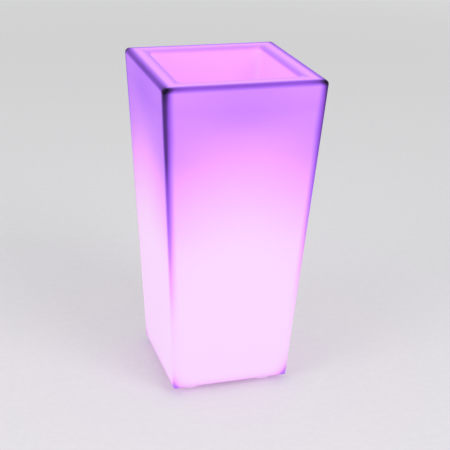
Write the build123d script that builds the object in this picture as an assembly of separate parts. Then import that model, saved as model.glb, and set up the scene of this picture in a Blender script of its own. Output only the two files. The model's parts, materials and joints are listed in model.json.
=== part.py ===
from build123d import *
import math
import os
from typing import NamedTuple

# A tall square planter that tapers towards its base. Its body is one hollow moulding with a double wall:
# an outer skin, a rounded rim and a planting basin let into the top. A sealed round lamp unit closes the
# hole in its underside and lights it from within.
# Millimetres, +Z up. The origin is the centre of the footprint, on the surface that the feet stand on.
# The wide face seen from the front looks along -Y.


class ScrewSize(NamedTuple):
    radius: float
    length: float
    head_radius: float
    head_height: float


# Moulded body
RIM_WIDTH = 390.0
BASE_WIDTH = 295.0
BODY_HEIGHT = 781.5
FOOT_HEIGHT = 18.5
WALL = 4.0
SIDE_EDGE_RADIUS = 12.0
SIDE_EDGE_RADIUS_LOW = 5.0
RIM_EDGE_RADIUS = 10.0
BASE_EDGE_RADIUS = 3.5
RIM_OPENING = 287.0
BASIN_DEPTH = 270.0
BASIN_DRAFT_DEG = 2.5
BASIN_CORNER_RADIUS = 13.0
BASIN_FLOOR_RADIUS = 12.0

# Feet, moulded into the body
FOOT_OFFSET = 94.5
FOOT_RADIUS = 31.0
FOOT_ROOT_RADIUS = 34.0
FOOT_EDGE_RADIUS = 5.0
FOOT_ROOT_FILLET = 3.0

# Round recess and hole for the lamp unit, in the underside
RECESS_RADIUS = 87.0
RECESS_DEPTH = 9.0
RECESS_LIP_RADIUS = 2.0
HOLE_RADIUS = 65.0
COVER_SCREW_COUNT = 6
COVER_SCREW_CIRCLE = 77.0
INSERT_RADIUS = 4.0
INSERT_LENGTH = 12.0
INSERT_BOSS_RADIUS = 8.0
INSERT_BOSS_HEIGHT = 12.0

# Cover, gasket and screws
GASKET_THICKNESS = 2.0
COVER_RADIUS = 86.0
COVER_THICKNESS = 4.0
COVER_EDGE_RADIUS = 1.5
COVER_SCREW = ScrewSize(radius=2.0, length=14.0, head_radius=4.0, head_height=2.2)
COVER_SCREW_HOLE_RADIUS = 2.25
GASKET_INNER_RADIUS = 66.0
GASKET_HOLE_RADIUS = 2.4
INSERT_BORE_RADIUS = 2.02
INSERT_WAIST = 0.6
HEAD_POCKET_RADIUS = 5.0
HEAD_POCKET_DEPTH = 1.6
UNDERSIDE_RIB_HEIGHT = 1.5
UNDERSIDE_RIB_WIDTH = 2.0
UNDERSIDE_RING_RADIUS = 60.0

# Shares of a screw's head or shank
HEAD_ROUNDING = 0.45
HEAD_SOCKET_WIDTH = 0.45
HEAD_SOCKET_DEPTH = 0.6
SHANK_CHAMFER = 0.4

# Tub that stands on the cover and holds the electronics
TUB_RADIUS = 62.5
TUB_WALL = 3.0
TUB_HEIGHT = 28.0
DOME_SCREW_COUNT = 6
DOME_SCREW_CIRCLE = 57.5
DOME_SCREW = ScrewSize(radius=1.5, length=10.0, head_radius=2.7, head_height=1.8)
DOME_SCREW_HOLE_RADIUS = 1.7
DOME_BOSS_RADIUS = 4.0
SEAL_RADIUS = 61.0
SEAL_WIDTH = 1.6
SEAL_DEPTH = 1.2

# Light dome
DOME_RADIUS = 52.5
DOME_RISE = 40.0
DOME_SHOULDER_RADIUS = 30.0
DOME_WALL = 2.5
DOME_FLANGE = 3.0

# Light board
BOARD_THICKNESS = 1.6
LED_BOARD_RADIUS = 50.0
LED_BOARD_LIFT = 26.0
LED_POST_X = 40.0
LED_POST_Y = 22.0
LED_POST_RADIUS = 3.0
LED_SCREW = ScrewSize(radius=1.25, length=8.0, head_radius=2.4, head_height=1.5)
LED_SCREW_HOLE_RADIUS = 1.4
LEAD_SLOT = 10.0
LED_SIZE = 5.0
LED_HEIGHT = 1.6
LED_WINDOW_RADIUS = 1.9
LED_WINDOW_DEPTH = 0.3
LED_CORNER_CUT = 0.8
LED_RINGS = ((6, 17.0), (12, 36.0))
LED_RINGS_TURN = 15.0
RECEIVER_CASE = (5.6, 3.0, 6.8)
RECEIVER_LEG = (0.5, 0.4, 2.0)
RECEIVER_LEG_PITCH = 1.8
RECEIVER_WINDOW_RADIUS = 1.7
RECEIVER_WINDOW_HEIGHT = 4.1
RECEIVER_WINDOW_STAND_OUT = 0.7

# Battery
CELL_RADIUS = 9.2
CELL_LENGTH = 65.0
CELL_PITCH = 18.8
CELL_COUNT = 3
CELL_GROOVE = 0.7
CELL_GROOVE_INSET = 5.0
CELL_SHOULDER = 1.0
CELL_TIP_RADIUS = 3.2
HOLDER_FLOOR = 1.5
HOLDER_END = 2.5
HOLDER_SIDE = 1.5
CELL_CLEARANCE = 0.05
CONTACT_THICKNESS = 0.3
CONTACT_HEIGHT = 7.0
PAD_SIZE = (52.0, 48.0)
PAD_CORNER_RADIUS = 4.0
STOP_SIZE = (1.2, 40.0, 5.0)
STOP_GAP = 0.3

# Control board, power button and charging socket, in front of the battery
CONTROL_BOARD = (34.0, 18.0)
CONTROL_CENTRE = (-12.0, -41.0)
CONTROL_LIFT = 10.0
CONTROL_CORNER_RADIUS = 1.5
CONTROL_POSTS = ((-26.5, -35.5), (2.0, -47.0))
CONTROL_POST_RADIUS = 2.5
CONTROL_SCREW = ScrewSize(radius=1.0, length=6.0, head_radius=1.9, head_height=1.2)
CONTROL_SCREW_HOLE_RADIUS = 1.1
CHIP_SIZE, CHIP_CENTRE = (9.8, 3.9, 1.6), (-14.0, -46.0)
COIL_SIZE, COIL_CENTRE, COIL_CORNER_RADIUS = (6.6, 6.6, 3.2), (-19.0, -37.6), 1.2
CAPACITOR_RADIUS, CAPACITOR_HEIGHT, CAPACITOR_CENTRE = 3.1, 5.6, (-9.0, -37.0)
PLUG_SOCKET_HEIGHT = 5.0
BATTERY_PLUG_SIZE, BATTERY_PLUG_CENTRE = (5.0, 6.0, PLUG_SOCKET_HEIGHT), (-25.5, -43.0)
LIGHT_PLUG_SIZE, LIGHT_PLUG_CENTRE = (6.0, 4.4, PLUG_SOCKET_HEIGHT), (-1.0, -35.0)
CHARGE_PLUG_SIZE, CHARGE_PLUG_CENTRE = (4.4, 5.0, PLUG_SOCKET_HEIGHT), (2.0, -41.0)
STATUS_LIGHT_SIZE = (2.0, 1.3, 0.8)
BUTTON_CENTRE = (-16.0, -42.0)
BUTTON_RADIUS = 6.0
BUTTON_GAP = 0.05
BUTTON_TRAVEL = 1.5
BUTTON_STAND_OUT = 1.2
BUTTON_DISH = 0.5
BUTTON_COLLAR_RADIUS = 8.0
BUTTON_COLLAR = 1.5
COLLAR_GAP = 0.3
GUIDE_RADIUS = 9.0
GUIDE_HEIGHT = 3.0
BUTTON_GROOVE_WIDTH = 1.4
BUTTON_GROOVE_HEIGHT = 2.0
SWITCH_SIZE = (6.0, 6.0, 3.0)
SWITCH_STEM_RADIUS = 1.7
SWITCH_STEM_GAP = 0.1
SPRING_WIRE = 0.8
SPRING_RADIUS = 5.2
SPRING_TURNS = 3.5
SOCKET_CENTRE = (18.0, -42.0)
SOCKET_THREAD_RADIUS = 5.5
SOCKET_BORE_RADIUS = 2.8
SOCKET_BORE_DEPTH = 9.5
SOCKET_PIN_RADIUS = 1.05
SOCKET_PIN_INSET = 1.5
SOCKET_BACK = 1.5
SOCKET_FLANGE_RADIUS = 7.2
SOCKET_FLANGE = 1.2
SOCKET_PANEL = 3.5
SOCKET_HOLE_GAP = 0.1
SOCKET_TAIL = (0.6, 2.4, 4.5)
SOCKET_TAIL_OFFSET = 2.5
NUT_HALF_WIDTH = 7.0
NUT_THICKNESS = 2.4
PORT_RADIUS = 9.3
PORT_WALL = 2.7
PLUG_RADIUS = 9.0
PLUG_INSET = 0.2
PLUG_DISC = 2.5
PLUG_EDGE_RADIUS = 0.6
PLUG_NOSE_RADIUS = 2.72
PLUG_NOSE_BORE_RADIUS = 1.2
PLUG_NOSE_LENGTH = 5.4
PLUG_TAB = (9.0, 2.6, 2.4)
PLUG_TAB_CORNER_RADIUS = 1.2
LENS_CENTRE = (1.0, -38.0)
LENS_RADIUS = 2.0
LENS_GAP = 0.02
LENS_STAND_OUT = 0.3
LENS_COLLAR_RADIUS = 3.2
LENS_COLLAR = 1.2
LEAD_RADIUS = 1.1
LEAD_ARC_SHARE = 0.45

# Levels worked out from the sizes above
UNDERSIDE_Z = FOOT_HEIGHT
RIM_Z = FOOT_HEIGHT + BODY_HEIGHT
BASIN_FLOOR_Z = RIM_Z - BASIN_DEPTH
SEAT_Z = UNDERSIDE_Z + RECESS_DEPTH
COVER_TOP_Z = SEAT_Z - GASKET_THICKNESS
COVER_BOTTOM_Z = COVER_TOP_Z - COVER_THICKNESS
TUB_TOP_Z = COVER_TOP_Z + TUB_HEIGHT
LED_BOARD_Z = COVER_TOP_Z + LED_BOARD_LIFT
CONTROL_BOARD_Z = COVER_TOP_Z + CONTROL_LIFT
CELL_AXIS_Z = COVER_TOP_Z + HOLDER_FLOOR + CELL_RADIUS
WALL_LEAN = (RIM_WIDTH - BASE_WIDTH) / 2 / BODY_HEIGHT
SIDE_INSET = WALL * math.hypot(1, WALL_LEAN)
BASIN_LEAN = math.tan(math.radians(BASIN_DRAFT_DEG))
COLLAR_Z = COVER_TOP_Z + GUIDE_HEIGHT + COLLAR_GAP
GROOVE_Z = COVER_BOTTOM_Z + BUTTON_GROOVE_HEIGHT
SOCKET_FACE_Z = COVER_TOP_Z - SOCKET_FLANGE
SOCKET_END_Z = SOCKET_FACE_Z + SOCKET_BORE_DEPTH + SOCKET_BACK
PLUG_SOCKET_TOP_Z = CONTROL_BOARD_Z + BOARD_THICKNESS + PLUG_SOCKET_HEIGHT
HOLDER_INSIDE = CELL_LENGTH / 2 + CONTACT_THICKNESS
HOLDER_HALF_LENGTH = HOLDER_INSIDE + HOLDER_END
CELLS_AT_Y = [(i - (CELL_COUNT - 1) / 2) * CELL_PITCH for i in range(CELL_COUNT)]
SEAL_OUTER = SEAL_RADIUS + SEAL_WIDTH / 2
SEAL_INNER = SEAL_RADIUS - SEAL_WIDTH / 2

# How far a cutting shape runs past the surface that it cuts
RUN_OVER = 1.0


def body_width(z):
    """width of the outer skin at a height, before its edges are rounded"""
    return BASE_WIDTH + 2 * WALL_LEAN * (z - UNDERSIDE_Z)


def basin_width(z):
    """width of the basin at a height"""
    return RIM_OPENING - 2 * BASIN_LEAN * (RIM_Z - z)


def square_frustum(width_low, width_high, z_low, z_high, edge_radius):
    """square frustum with its four leaning edges rounded"""
    height = z_high - z_low
    lean_deg = math.degrees(math.atan2((width_high - width_low) / 2, height))
    block = extrude(Pos(0, 0, z_low) * Rectangle(width_low, width_low), amount=height, taper=-lean_deg)
    leaning = block.edges().filter_by(lambda edge: abs((edge @ 1 - edge @ 0).Z) > height / 2)
    return fillet(leaning, edge_radius)


def rod(radius, z_low, z_high, centre=(0, 0)):
    """upright round bar between two heights"""
    upright = Cylinder(radius, z_high - z_low, align=(Align.CENTER, Align.CENTER, Align.MIN))
    return Pos(centre[0], centre[1], z_low) * upright


def bar(size, z_low, centre=(0, 0)):
    """upright block of size x, y, z standing on a height"""
    return Pos(centre[0], centre[1], z_low) * Box(*size, align=(Align.CENTER, Align.CENTER, Align.MIN))


def ring(outer, inner, z_low, z_high, centre=(0, 0)):
    """upright tube between two heights"""
    return rod(outer, z_low, z_high, centre) - rod(inner, z_low, z_high, centre)


def on_circle(count, radius, first_deg=0.0):
    """points spread evenly on a circle about the Z axis"""
    turns = [math.radians(first_deg + 360 * i / count) for i in range(count)]
    return [(radius * math.cos(turn), radius * math.sin(turn)) for turn in turns]


def circles_at(shape, radius, z):
    """round edges of one radius at one height"""
    rounds = shape.edges().filter_by(GeomType.CIRCLE)
    return rounds.filter_by(lambda edge: math.isclose(edge.radius, radius, abs_tol=0.01)
                            and math.isclose((edge @ 0).Z, z, abs_tol=0.01))


COVER_SCREWS_AT = on_circle(COVER_SCREW_COUNT, COVER_SCREW_CIRCLE)
DOME_SCREWS_AT = on_circle(DOME_SCREW_COUNT, DOME_SCREW_CIRCLE, 180 / DOME_SCREW_COUNT)
LED_POSTS_AT = [(x, y) for x in (-LED_POST_X, LED_POST_X) for y in (-LED_POST_Y, LED_POST_Y)]
FEET_AT = [(x, y) for x in (-FOOT_OFFSET, FOOT_OFFSET) for y in (-FOOT_OFFSET, FOOT_OFFSET)]


def outer_form():
    """outside of the body: its upright edges grow sharper downwards, rim and base edges are rounded"""
    base = Pos(0, 0, UNDERSIDE_Z) * RectangleRounded(BASE_WIDTH, BASE_WIDTH, SIDE_EDGE_RADIUS_LOW)
    rim = Pos(0, 0, RIM_Z) * RectangleRounded(RIM_WIDTH, RIM_WIDTH, SIDE_EDGE_RADIUS)
    block = loft([base, rim], ruled=True)
    block = fillet(block.faces().sort_by(Axis.Z)[-1].edges(), RIM_EDGE_RADIUS)
    return fillet(block.faces().sort_by(Axis.Z)[0].edges(), BASE_EDGE_RADIUS)


def basin_form(skin, top_z):
    """space of the basin, or with a skin the outside of its wall"""
    low_z = BASIN_FLOOR_Z - skin
    grow = 2 * skin * math.hypot(1, BASIN_LEAN)
    block = square_frustum(basin_width(low_z) + grow, basin_width(top_z) + grow, low_z, top_z,
                           BASIN_CORNER_RADIUS + skin)
    return fillet(block.faces().sort_by(Axis.Z)[0].edges(), BASIN_FLOOR_RADIUS + skin)


def cavity_form():
    """hollow between the outer skin and the basin's wall"""
    low_z = UNDERSIDE_Z + WALL
    high_z = RIM_Z - WALL
    block = square_frustum(body_width(low_z) - 2 * SIDE_INSET, body_width(high_z) - 2 * SIDE_INSET,
                           low_z, high_z, SIDE_EDGE_RADIUS - WALL)
    block -= basin_form(WALL, high_z + RUN_OVER)
    ceiling = block.faces().filter_by(lambda face: abs(face.center().Z - high_z) < 0.1)
    return fillet(ceiling.edges(), RIM_EDGE_RADIUS - WALL)


def foot_form(centre, skin, top_z):
    """round foot that widens a little upwards, or with a skin the hollow inside it"""
    foot = Cone(FOOT_RADIUS - skin, FOOT_ROOT_RADIUS - skin, top_z - skin,
                align=(Align.CENTER, Align.CENTER, Align.MIN))
    foot = fillet(foot.edges().sort_by(Axis.Z)[0], max(FOOT_EDGE_RADIUS - skin, RUN_OVER))
    return Pos(centre[0], centre[1], skin) * foot


def planter_body():
    body = outer_form() - basin_form(0, RIM_Z + RUN_OVER)
    rim_edges = body.faces().sort_by(Axis.Z)[-1].inner_wires().edges()
    body = fillet(rim_edges, RIM_EDGE_RADIUS)
    body -= cavity_form()
    for centre in FEET_AT:
        body += foot_form(centre, 0, UNDERSIDE_Z)
    body = fillet(circles_at(body, FOOT_ROOT_RADIUS, UNDERSIDE_Z), FOOT_ROOT_FILLET)
    for centre in FEET_AT:
        body -= foot_form(centre, WALL, UNDERSIDE_Z + WALL + RUN_OVER)
    body += rod(RECESS_RADIUS + WALL, UNDERSIDE_Z, SEAT_Z + WALL)
    for centre in COVER_SCREWS_AT:
        body += rod(INSERT_BOSS_RADIUS, SEAT_Z, SEAT_Z + WALL + INSERT_BOSS_HEIGHT, centre)
    body -= rod(RECESS_RADIUS, UNDERSIDE_Z - RUN_OVER, SEAT_Z)
    body -= rod(HOLE_RADIUS, SEAT_Z - RUN_OVER, SEAT_Z + WALL + RUN_OVER)
    body = fillet(circles_at(body, RECESS_RADIUS, UNDERSIDE_Z), RECESS_LIP_RADIUS)
    for centre in COVER_SCREWS_AT:
        body -= rod(INSERT_RADIUS, SEAT_Z - RUN_OVER, SEAT_Z + INSERT_LENGTH, centre)
    return body


def revolved(points, centre=(0, 0)):
    """solid of revolution about an upright axis, from (radius, height) points"""
    profile = make_face(Plane.XZ * Polyline(*points, close=True))
    return Pos(centre[0], centre[1], 0) * revolve(profile, Axis.Z)


def cover_inserts():
    """brass nuts moulded into the seat, each waisted so that it cannot pull out"""
    bore = INSERT_BORE_RADIUS
    waist = INSERT_RADIUS - INSERT_WAIST
    top = SEAT_Z + INSERT_LENGTH
    low_band = SEAT_Z + INSERT_LENGTH / 3
    high_band = SEAT_Z + INSERT_LENGTH * 2 / 3
    points = ((bore, SEAT_Z), (INSERT_RADIUS, SEAT_Z), (INSERT_RADIUS, low_band),
              (waist, low_band + INSERT_WAIST), (waist, high_band - INSERT_WAIST),
              (INSERT_RADIUS, high_band), (INSERT_RADIUS, top), (bore, top))
    return [revolved(points, centre) for centre in COVER_SCREWS_AT]


def pan_screw(centre, seat_z, size, pointing=1):
    """pan-head screw with a hexagon socket; its shank rises from the seat, or drops when pointing is -1"""
    head = Cylinder(size.head_radius, size.head_height, align=(Align.CENTER, Align.CENTER, Align.MAX))
    head = fillet(head.edges().sort_by(Axis.Z)[0], size.head_height * HEAD_ROUNDING)
    socket = Pos(0, 0, -size.head_height) * RegularPolygon(size.head_radius * HEAD_SOCKET_WIDTH, 6)
    head -= extrude(socket, amount=size.head_height * HEAD_SOCKET_DEPTH)
    shank = Cylinder(size.radius, size.length, align=(Align.CENTER, Align.CENTER, Align.MIN))
    shank = chamfer(shank.edges().sort_by(Axis.Z)[-1], size.radius * SHANK_CHAMFER)
    screw = head + shank
    if pointing < 0:
        screw = Rot(180, 0, 0) * screw
    return Pos(centre[0], centre[1], seat_z) * screw


def cover_screws():
    seat_z = COVER_BOTTOM_Z + HEAD_POCKET_DEPTH
    return [pan_screw(centre, seat_z, COVER_SCREW) for centre in COVER_SCREWS_AT]


def cover_gasket():
    gasket = ring(COVER_RADIUS, GASKET_INNER_RADIUS, COVER_TOP_Z, SEAT_Z)
    for centre in COVER_SCREWS_AT:
        gasket -= rod(GASKET_HOLE_RADIUS, COVER_TOP_Z - RUN_OVER, SEAT_Z + RUN_OVER, centre)
    return gasket


def underside_ribs():
    """ring, and spokes midway between the screws, that stiffen the cover's underside"""
    low_z = COVER_BOTTOM_Z - UNDERSIDE_RIB_HEIGHT
    inner = UNDERSIDE_RING_RADIUS - UNDERSIDE_RIB_WIDTH
    ribs = ring(UNDERSIDE_RING_RADIUS, inner, low_z, COVER_BOTTOM_Z)
    reach = COVER_RADIUS - UNDERSIDE_RIB_WIDTH - inner
    for i in range(COVER_SCREW_COUNT):
        spoke = bar((reach, UNDERSIDE_RIB_WIDTH, UNDERSIDE_RIB_HEIGHT), low_z, (inner + reach / 2, 0))
        ribs += Rot(0, 0, 360 * (i + 0.5) / COVER_SCREW_COUNT) * spoke
    return ribs


def cover_plate():
    """round plate with its lower edge rounded and its ribs"""
    plate = rod(COVER_RADIUS, COVER_BOTTOM_Z, COVER_TOP_Z)
    return fillet(plate.edges().sort_by(Axis.Z)[0], COVER_EDGE_RADIUS) + underside_ribs()


def tub():
    """round wall that carries the dome, with its screw bosses and the groove for its seal"""
    wall = ring(TUB_RADIUS, TUB_RADIUS - TUB_WALL, COVER_TOP_Z, TUB_TOP_Z)
    for centre in DOME_SCREWS_AT:
        wall += rod(DOME_BOSS_RADIUS, COVER_TOP_Z, TUB_TOP_Z, centre)
        wall -= rod(DOME_SCREW.radius, TUB_TOP_Z - DOME_SCREW.length, TUB_TOP_Z + RUN_OVER, centre)
    return wall - ring(SEAL_OUTER, SEAL_INNER, TUB_TOP_Z - SEAL_DEPTH, TUB_TOP_Z + RUN_OVER)


def board_posts():
    """bored posts under the light board and the control board"""
    light_posts = (LED_POSTS_AT, LED_POST_RADIUS, LED_BOARD_Z, LED_SCREW)
    control_posts = (CONTROL_POSTS, CONTROL_POST_RADIUS, CONTROL_BOARD_Z, CONTROL_SCREW)
    posts = []
    for places, radius, top_z, screw in (light_posts, control_posts):
        for centre in places:
            posts.append(ring(radius, screw.radius, top_z - screw.length, top_z, centre))
            posts.append(rod(radius, COVER_TOP_Z, top_z - screw.length, centre))
    return posts


def base_cover():
    cover = cover_plate() + tub() + board_posts()
    stop_x = HOLDER_HALF_LENGTH + STOP_GAP + STOP_SIZE[0] / 2
    for side in (-1, 1):
        cover += bar(STOP_SIZE, COVER_TOP_Z, (side * stop_x, 0))
    cover += rod(GUIDE_RADIUS, COVER_TOP_Z, COVER_TOP_Z + GUIDE_HEIGHT, BUTTON_CENTRE)
    cover += rod(PORT_RADIUS + PORT_WALL, COVER_TOP_Z, COVER_TOP_Z + SOCKET_PANEL, SOCKET_CENTRE)
    low_z = COVER_BOTTOM_Z - RUN_OVER
    for centre in COVER_SCREWS_AT:
        cover -= rod(HEAD_POCKET_RADIUS, low_z, COVER_BOTTOM_Z + HEAD_POCKET_DEPTH, centre)
        cover -= rod(COVER_SCREW_HOLE_RADIUS, COVER_BOTTOM_Z, COVER_TOP_Z + RUN_OVER, centre)
    panel_top_z = COVER_TOP_Z + SOCKET_PANEL
    cover -= rod(BUTTON_RADIUS + BUTTON_GAP, low_z, COVER_TOP_Z + GUIDE_HEIGHT + RUN_OVER, BUTTON_CENTRE)
    cover -= rod(PORT_RADIUS, low_z, COVER_TOP_Z, SOCKET_CENTRE)
    cover -= rod(SOCKET_THREAD_RADIUS + SOCKET_HOLE_GAP, low_z, panel_top_z + RUN_OVER, SOCKET_CENTRE)
    cover -= rod(LENS_RADIUS + LENS_GAP, low_z, COVER_TOP_Z + RUN_OVER, LENS_CENTRE)
    return cover


def dome_seal():
    return ring(SEAL_OUTER, SEAL_INNER, TUB_TOP_Z - SEAL_DEPTH, TUB_TOP_Z)


def dome_outline(inset):
    """half of the dome's outline: a shoulder arc that runs on into a larger crown arc"""
    spring_z = TUB_TOP_Z + DOME_FLANGE
    shoulder_x = DOME_RADIUS - DOME_SHOULDER_RADIUS
    shoulder_drop = DOME_RISE - DOME_SHOULDER_RADIUS
    crown_radius = (DOME_RADIUS * (shoulder_x - DOME_SHOULDER_RADIUS) + DOME_RISE ** 2) / (2 * shoulder_drop)
    joint_deg = math.degrees(math.atan2(crown_radius - DOME_RISE, shoulder_x))
    crown_z = spring_z + DOME_RISE - crown_radius
    shoulder = CenterArc((shoulder_x, spring_z), DOME_SHOULDER_RADIUS - inset, 0, joint_deg)
    return shoulder + CenterArc((0, crown_z), crown_radius - inset, joint_deg, 90 - joint_deg)


def diffuser_dome():
    """frosted shell of even thickness on a flat screwed flange"""
    spring_z = TUB_TOP_Z + DOME_FLANGE
    outer = dome_outline(0)
    inner = dome_outline(DOME_WALL)
    flange = Polyline(inner @ 0, (DOME_RADIUS - DOME_WALL, TUB_TOP_Z), (TUB_RADIUS, TUB_TOP_Z),
                      (TUB_RADIUS, spring_z), outer @ 0)
    profile = outer + inner + flange + Line(outer @ 1, inner @ 1)
    dome = revolve(make_face(Plane.XZ * profile), Axis.Z)
    for screw in DOME_SCREWS_AT:
        dome -= rod(DOME_SCREW_HOLE_RADIUS, TUB_TOP_Z - RUN_OVER, spring_z + RUN_OVER, screw)
    return dome


def dome_screws():
    return [pan_screw(centre, TUB_TOP_Z + DOME_FLANGE, DOME_SCREW, -1) for centre in DOME_SCREWS_AT]


def led_board():
    top_z = LED_BOARD_Z + BOARD_THICKNESS
    board = rod(LED_BOARD_RADIUS, LED_BOARD_Z, top_z)
    for centre in LED_POSTS_AT:
        board -= rod(LED_SCREW_HOLE_RADIUS, LED_BOARD_Z - RUN_OVER, top_z + RUN_OVER, centre)
    slot = (LEAD_SLOT, LEAD_SLOT, BOARD_THICKNESS + 2 * RUN_OVER)
    return board - bar(slot, LED_BOARD_Z - RUN_OVER, (0, -LED_BOARD_RADIUS))


def led_board_screws():
    return [pan_screw(centre, LED_BOARD_Z + BOARD_THICKNESS, LED_SCREW, -1) for centre in LED_POSTS_AT]


def led_emitters():
    """two rings of square light emitters, each with a round window and one cut corner"""
    low_z = LED_BOARD_Z + BOARD_THICKNESS
    package = bar((LED_SIZE, LED_SIZE, LED_HEIGHT), 0)
    marked_edge = package.edges().filter_by(Axis.Z)[0]
    package = chamfer(marked_edge, LED_CORNER_CUT)
    package -= rod(LED_WINDOW_RADIUS, LED_HEIGHT - LED_WINDOW_DEPTH, LED_HEIGHT + RUN_OVER)
    emitters = []
    for count, radius in LED_RINGS:
        for i in range(count):
            emitters.append(Rot(0, 0, LED_RINGS_TURN + 360 * i / count) * Pos(radius, 0, low_z) * package)
    return emitters


def infrared_receiver():
    """upright receiver with a round window, standing at the middle of the light board on three legs"""
    foot_z = LED_BOARD_Z + BOARD_THICKNESS
    case_z = foot_z + RECEIVER_LEG[2]
    window = Rot(90, 0, 0) * Cylinder(RECEIVER_WINDOW_RADIUS, 2 * RECEIVER_WINDOW_STAND_OUT)
    window_at = Pos(0, -RECEIVER_CASE[1] / 2, case_z + RECEIVER_WINDOW_HEIGHT)
    receiver = bar(RECEIVER_CASE, case_z) + window_at * window
    for i in (-1, 0, 1):
        receiver += bar(RECEIVER_LEG, foot_z, (i * RECEIVER_LEG_PITCH, 0))
    return receiver


def battery_cells():
    """round cells lying side by side, each with a rolled groove and a raised tip"""
    end = CELL_LENGTH / 2
    shoulder = end - CELL_SHOULDER
    groove = end - CELL_GROOVE_INSET
    root = CELL_RADIUS - CELL_GROOVE
    points = ((0, -end), (root, -end), (CELL_RADIUS, CELL_GROOVE - end), (CELL_RADIUS, groove - CELL_GROOVE),
              (root, groove), (CELL_RADIUS, groove + CELL_GROOVE), (CELL_RADIUS, shoulder - CELL_GROOVE),
              (root, shoulder), (CELL_TIP_RADIUS, shoulder), (CELL_TIP_RADIUS, end), (0, end))
    cell = Rot(0, 90, 0) * revolved(points)
    return [Pos(0, y, CELL_AXIS_Z) * cell for y in CELLS_AT_Y]


def battery_contacts():
    """nickel strip across each end of the cells"""
    x = (CELL_LENGTH + CONTACT_THICKNESS) / 2
    strip = (CONTACT_THICKNESS, (CELL_COUNT - 1) * CELL_PITCH + CONTACT_HEIGHT, CONTACT_HEIGHT)
    return [bar(strip, CELL_AXIS_Z - CONTACT_HEIGHT / 2, (side * x, 0)) for side in (-1, 1)]


def battery_holder():
    """tray with a round cradle for each cell, let in at both ends for the contacts"""
    width = (CELL_COUNT - 1) * CELL_PITCH + 2 * (CELL_RADIUS + HOLDER_SIDE)
    tray = bar((2 * HOLDER_HALF_LENGTH, width, CELL_AXIS_Z - COVER_TOP_Z), COVER_TOP_Z)
    cradle = Rot(0, 90, 0) * Cylinder(CELL_RADIUS + CELL_CLEARANCE, 2 * HOLDER_INSIDE)
    for y in CELLS_AT_Y:
        tray -= Pos(0, y, CELL_AXIS_Z) * cradle
    return tray - battery_contacts()


def battery_pad():
    """foam block that holds the cells down under the light board"""
    low_z = CELL_AXIS_Z + CELL_RADIUS + CELL_CLEARANCE
    pad = bar((*PAD_SIZE, LED_BOARD_Z - low_z), low_z)
    return fillet(pad.edges().filter_by(Axis.Z), PAD_CORNER_RADIUS)


def control_board():
    top_z = CONTROL_BOARD_Z + BOARD_THICKNESS
    board = bar((*CONTROL_BOARD, BOARD_THICKNESS), CONTROL_BOARD_Z, CONTROL_CENTRE)
    board = fillet(board.edges().filter_by(Axis.Z), CONTROL_CORNER_RADIUS)
    for centre in CONTROL_POSTS:
        board -= rod(CONTROL_SCREW_HOLE_RADIUS, CONTROL_BOARD_Z - RUN_OVER, top_z + RUN_OVER, centre)
    return board


def control_board_screws():
    seat_z = CONTROL_BOARD_Z + BOARD_THICKNESS
    return [pan_screw(centre, seat_z, CONTROL_SCREW, -1) for centre in CONTROL_POSTS]


def control_components():
    """chip, coil, capacitor and plug sockets on top of the control board, status light under it"""
    top_z = CONTROL_BOARD_Z + BOARD_THICKNESS
    chip = bar(CHIP_SIZE, top_z, CHIP_CENTRE)
    coil = bar(COIL_SIZE, top_z, COIL_CENTRE)
    coil = fillet(coil.edges().filter_by(Axis.Z), COIL_CORNER_RADIUS)
    capacitor = rod(CAPACITOR_RADIUS, top_z, top_z + CAPACITOR_HEIGHT, CAPACITOR_CENTRE)
    battery_plug = bar(BATTERY_PLUG_SIZE, top_z, BATTERY_PLUG_CENTRE)
    light_plug = bar(LIGHT_PLUG_SIZE, top_z, LIGHT_PLUG_CENTRE)
    charge_plug = bar(CHARGE_PLUG_SIZE, top_z, CHARGE_PLUG_CENTRE)
    status_light = bar(STATUS_LIGHT_SIZE, CONTROL_BOARD_Z - STATUS_LIGHT_SIZE[2], LENS_CENTRE)
    return [chip, coil, capacitor, battery_plug, light_plug, charge_plug, status_light]


def button_switch():
    """square push switch under the control board, its stem just clear of the pressed button"""
    low_z = CONTROL_BOARD_Z - SWITCH_SIZE[2]
    stem_z = COLLAR_Z + BUTTON_COLLAR + BUTTON_TRAVEL + SWITCH_STEM_GAP
    return bar(SWITCH_SIZE, low_z, BUTTON_CENTRE) + rod(SWITCH_STEM_RADIUS, stem_z, low_z, BUTTON_CENTRE)


def power_button():
    """round cap with a dished face, held in by a collar and grooved for its sealing ring"""
    low_z = COVER_BOTTOM_Z - BUTTON_STAND_OUT
    root = BUTTON_RADIUS - BUTTON_GROOVE_WIDTH
    groove_top = GROOVE_Z + BUTTON_GROOVE_WIDTH
    collar_top = COLLAR_Z + BUTTON_COLLAR
    points = ((0, low_z + BUTTON_DISH), (BUTTON_RADIUS - 4 * BUTTON_DISH, low_z + BUTTON_DISH),
              (BUTTON_RADIUS - 2 * BUTTON_DISH, low_z), (BUTTON_RADIUS - BUTTON_DISH, low_z),
              (BUTTON_RADIUS, low_z + BUTTON_DISH), (BUTTON_RADIUS, GROOVE_Z),
              (root, GROOVE_Z), (root, groove_top), (BUTTON_RADIUS, groove_top), (BUTTON_RADIUS, COLLAR_Z),
              (BUTTON_COLLAR_RADIUS, COLLAR_Z), (BUTTON_COLLAR_RADIUS, collar_top), (0, collar_top))
    return revolved(points, BUTTON_CENTRE)


def button_seal():
    root = BUTTON_RADIUS - BUTTON_GROOVE_WIDTH
    return ring(BUTTON_RADIUS, root, GROOVE_Z, GROOVE_Z + BUTTON_GROOVE_WIDTH, BUTTON_CENTRE)


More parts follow.
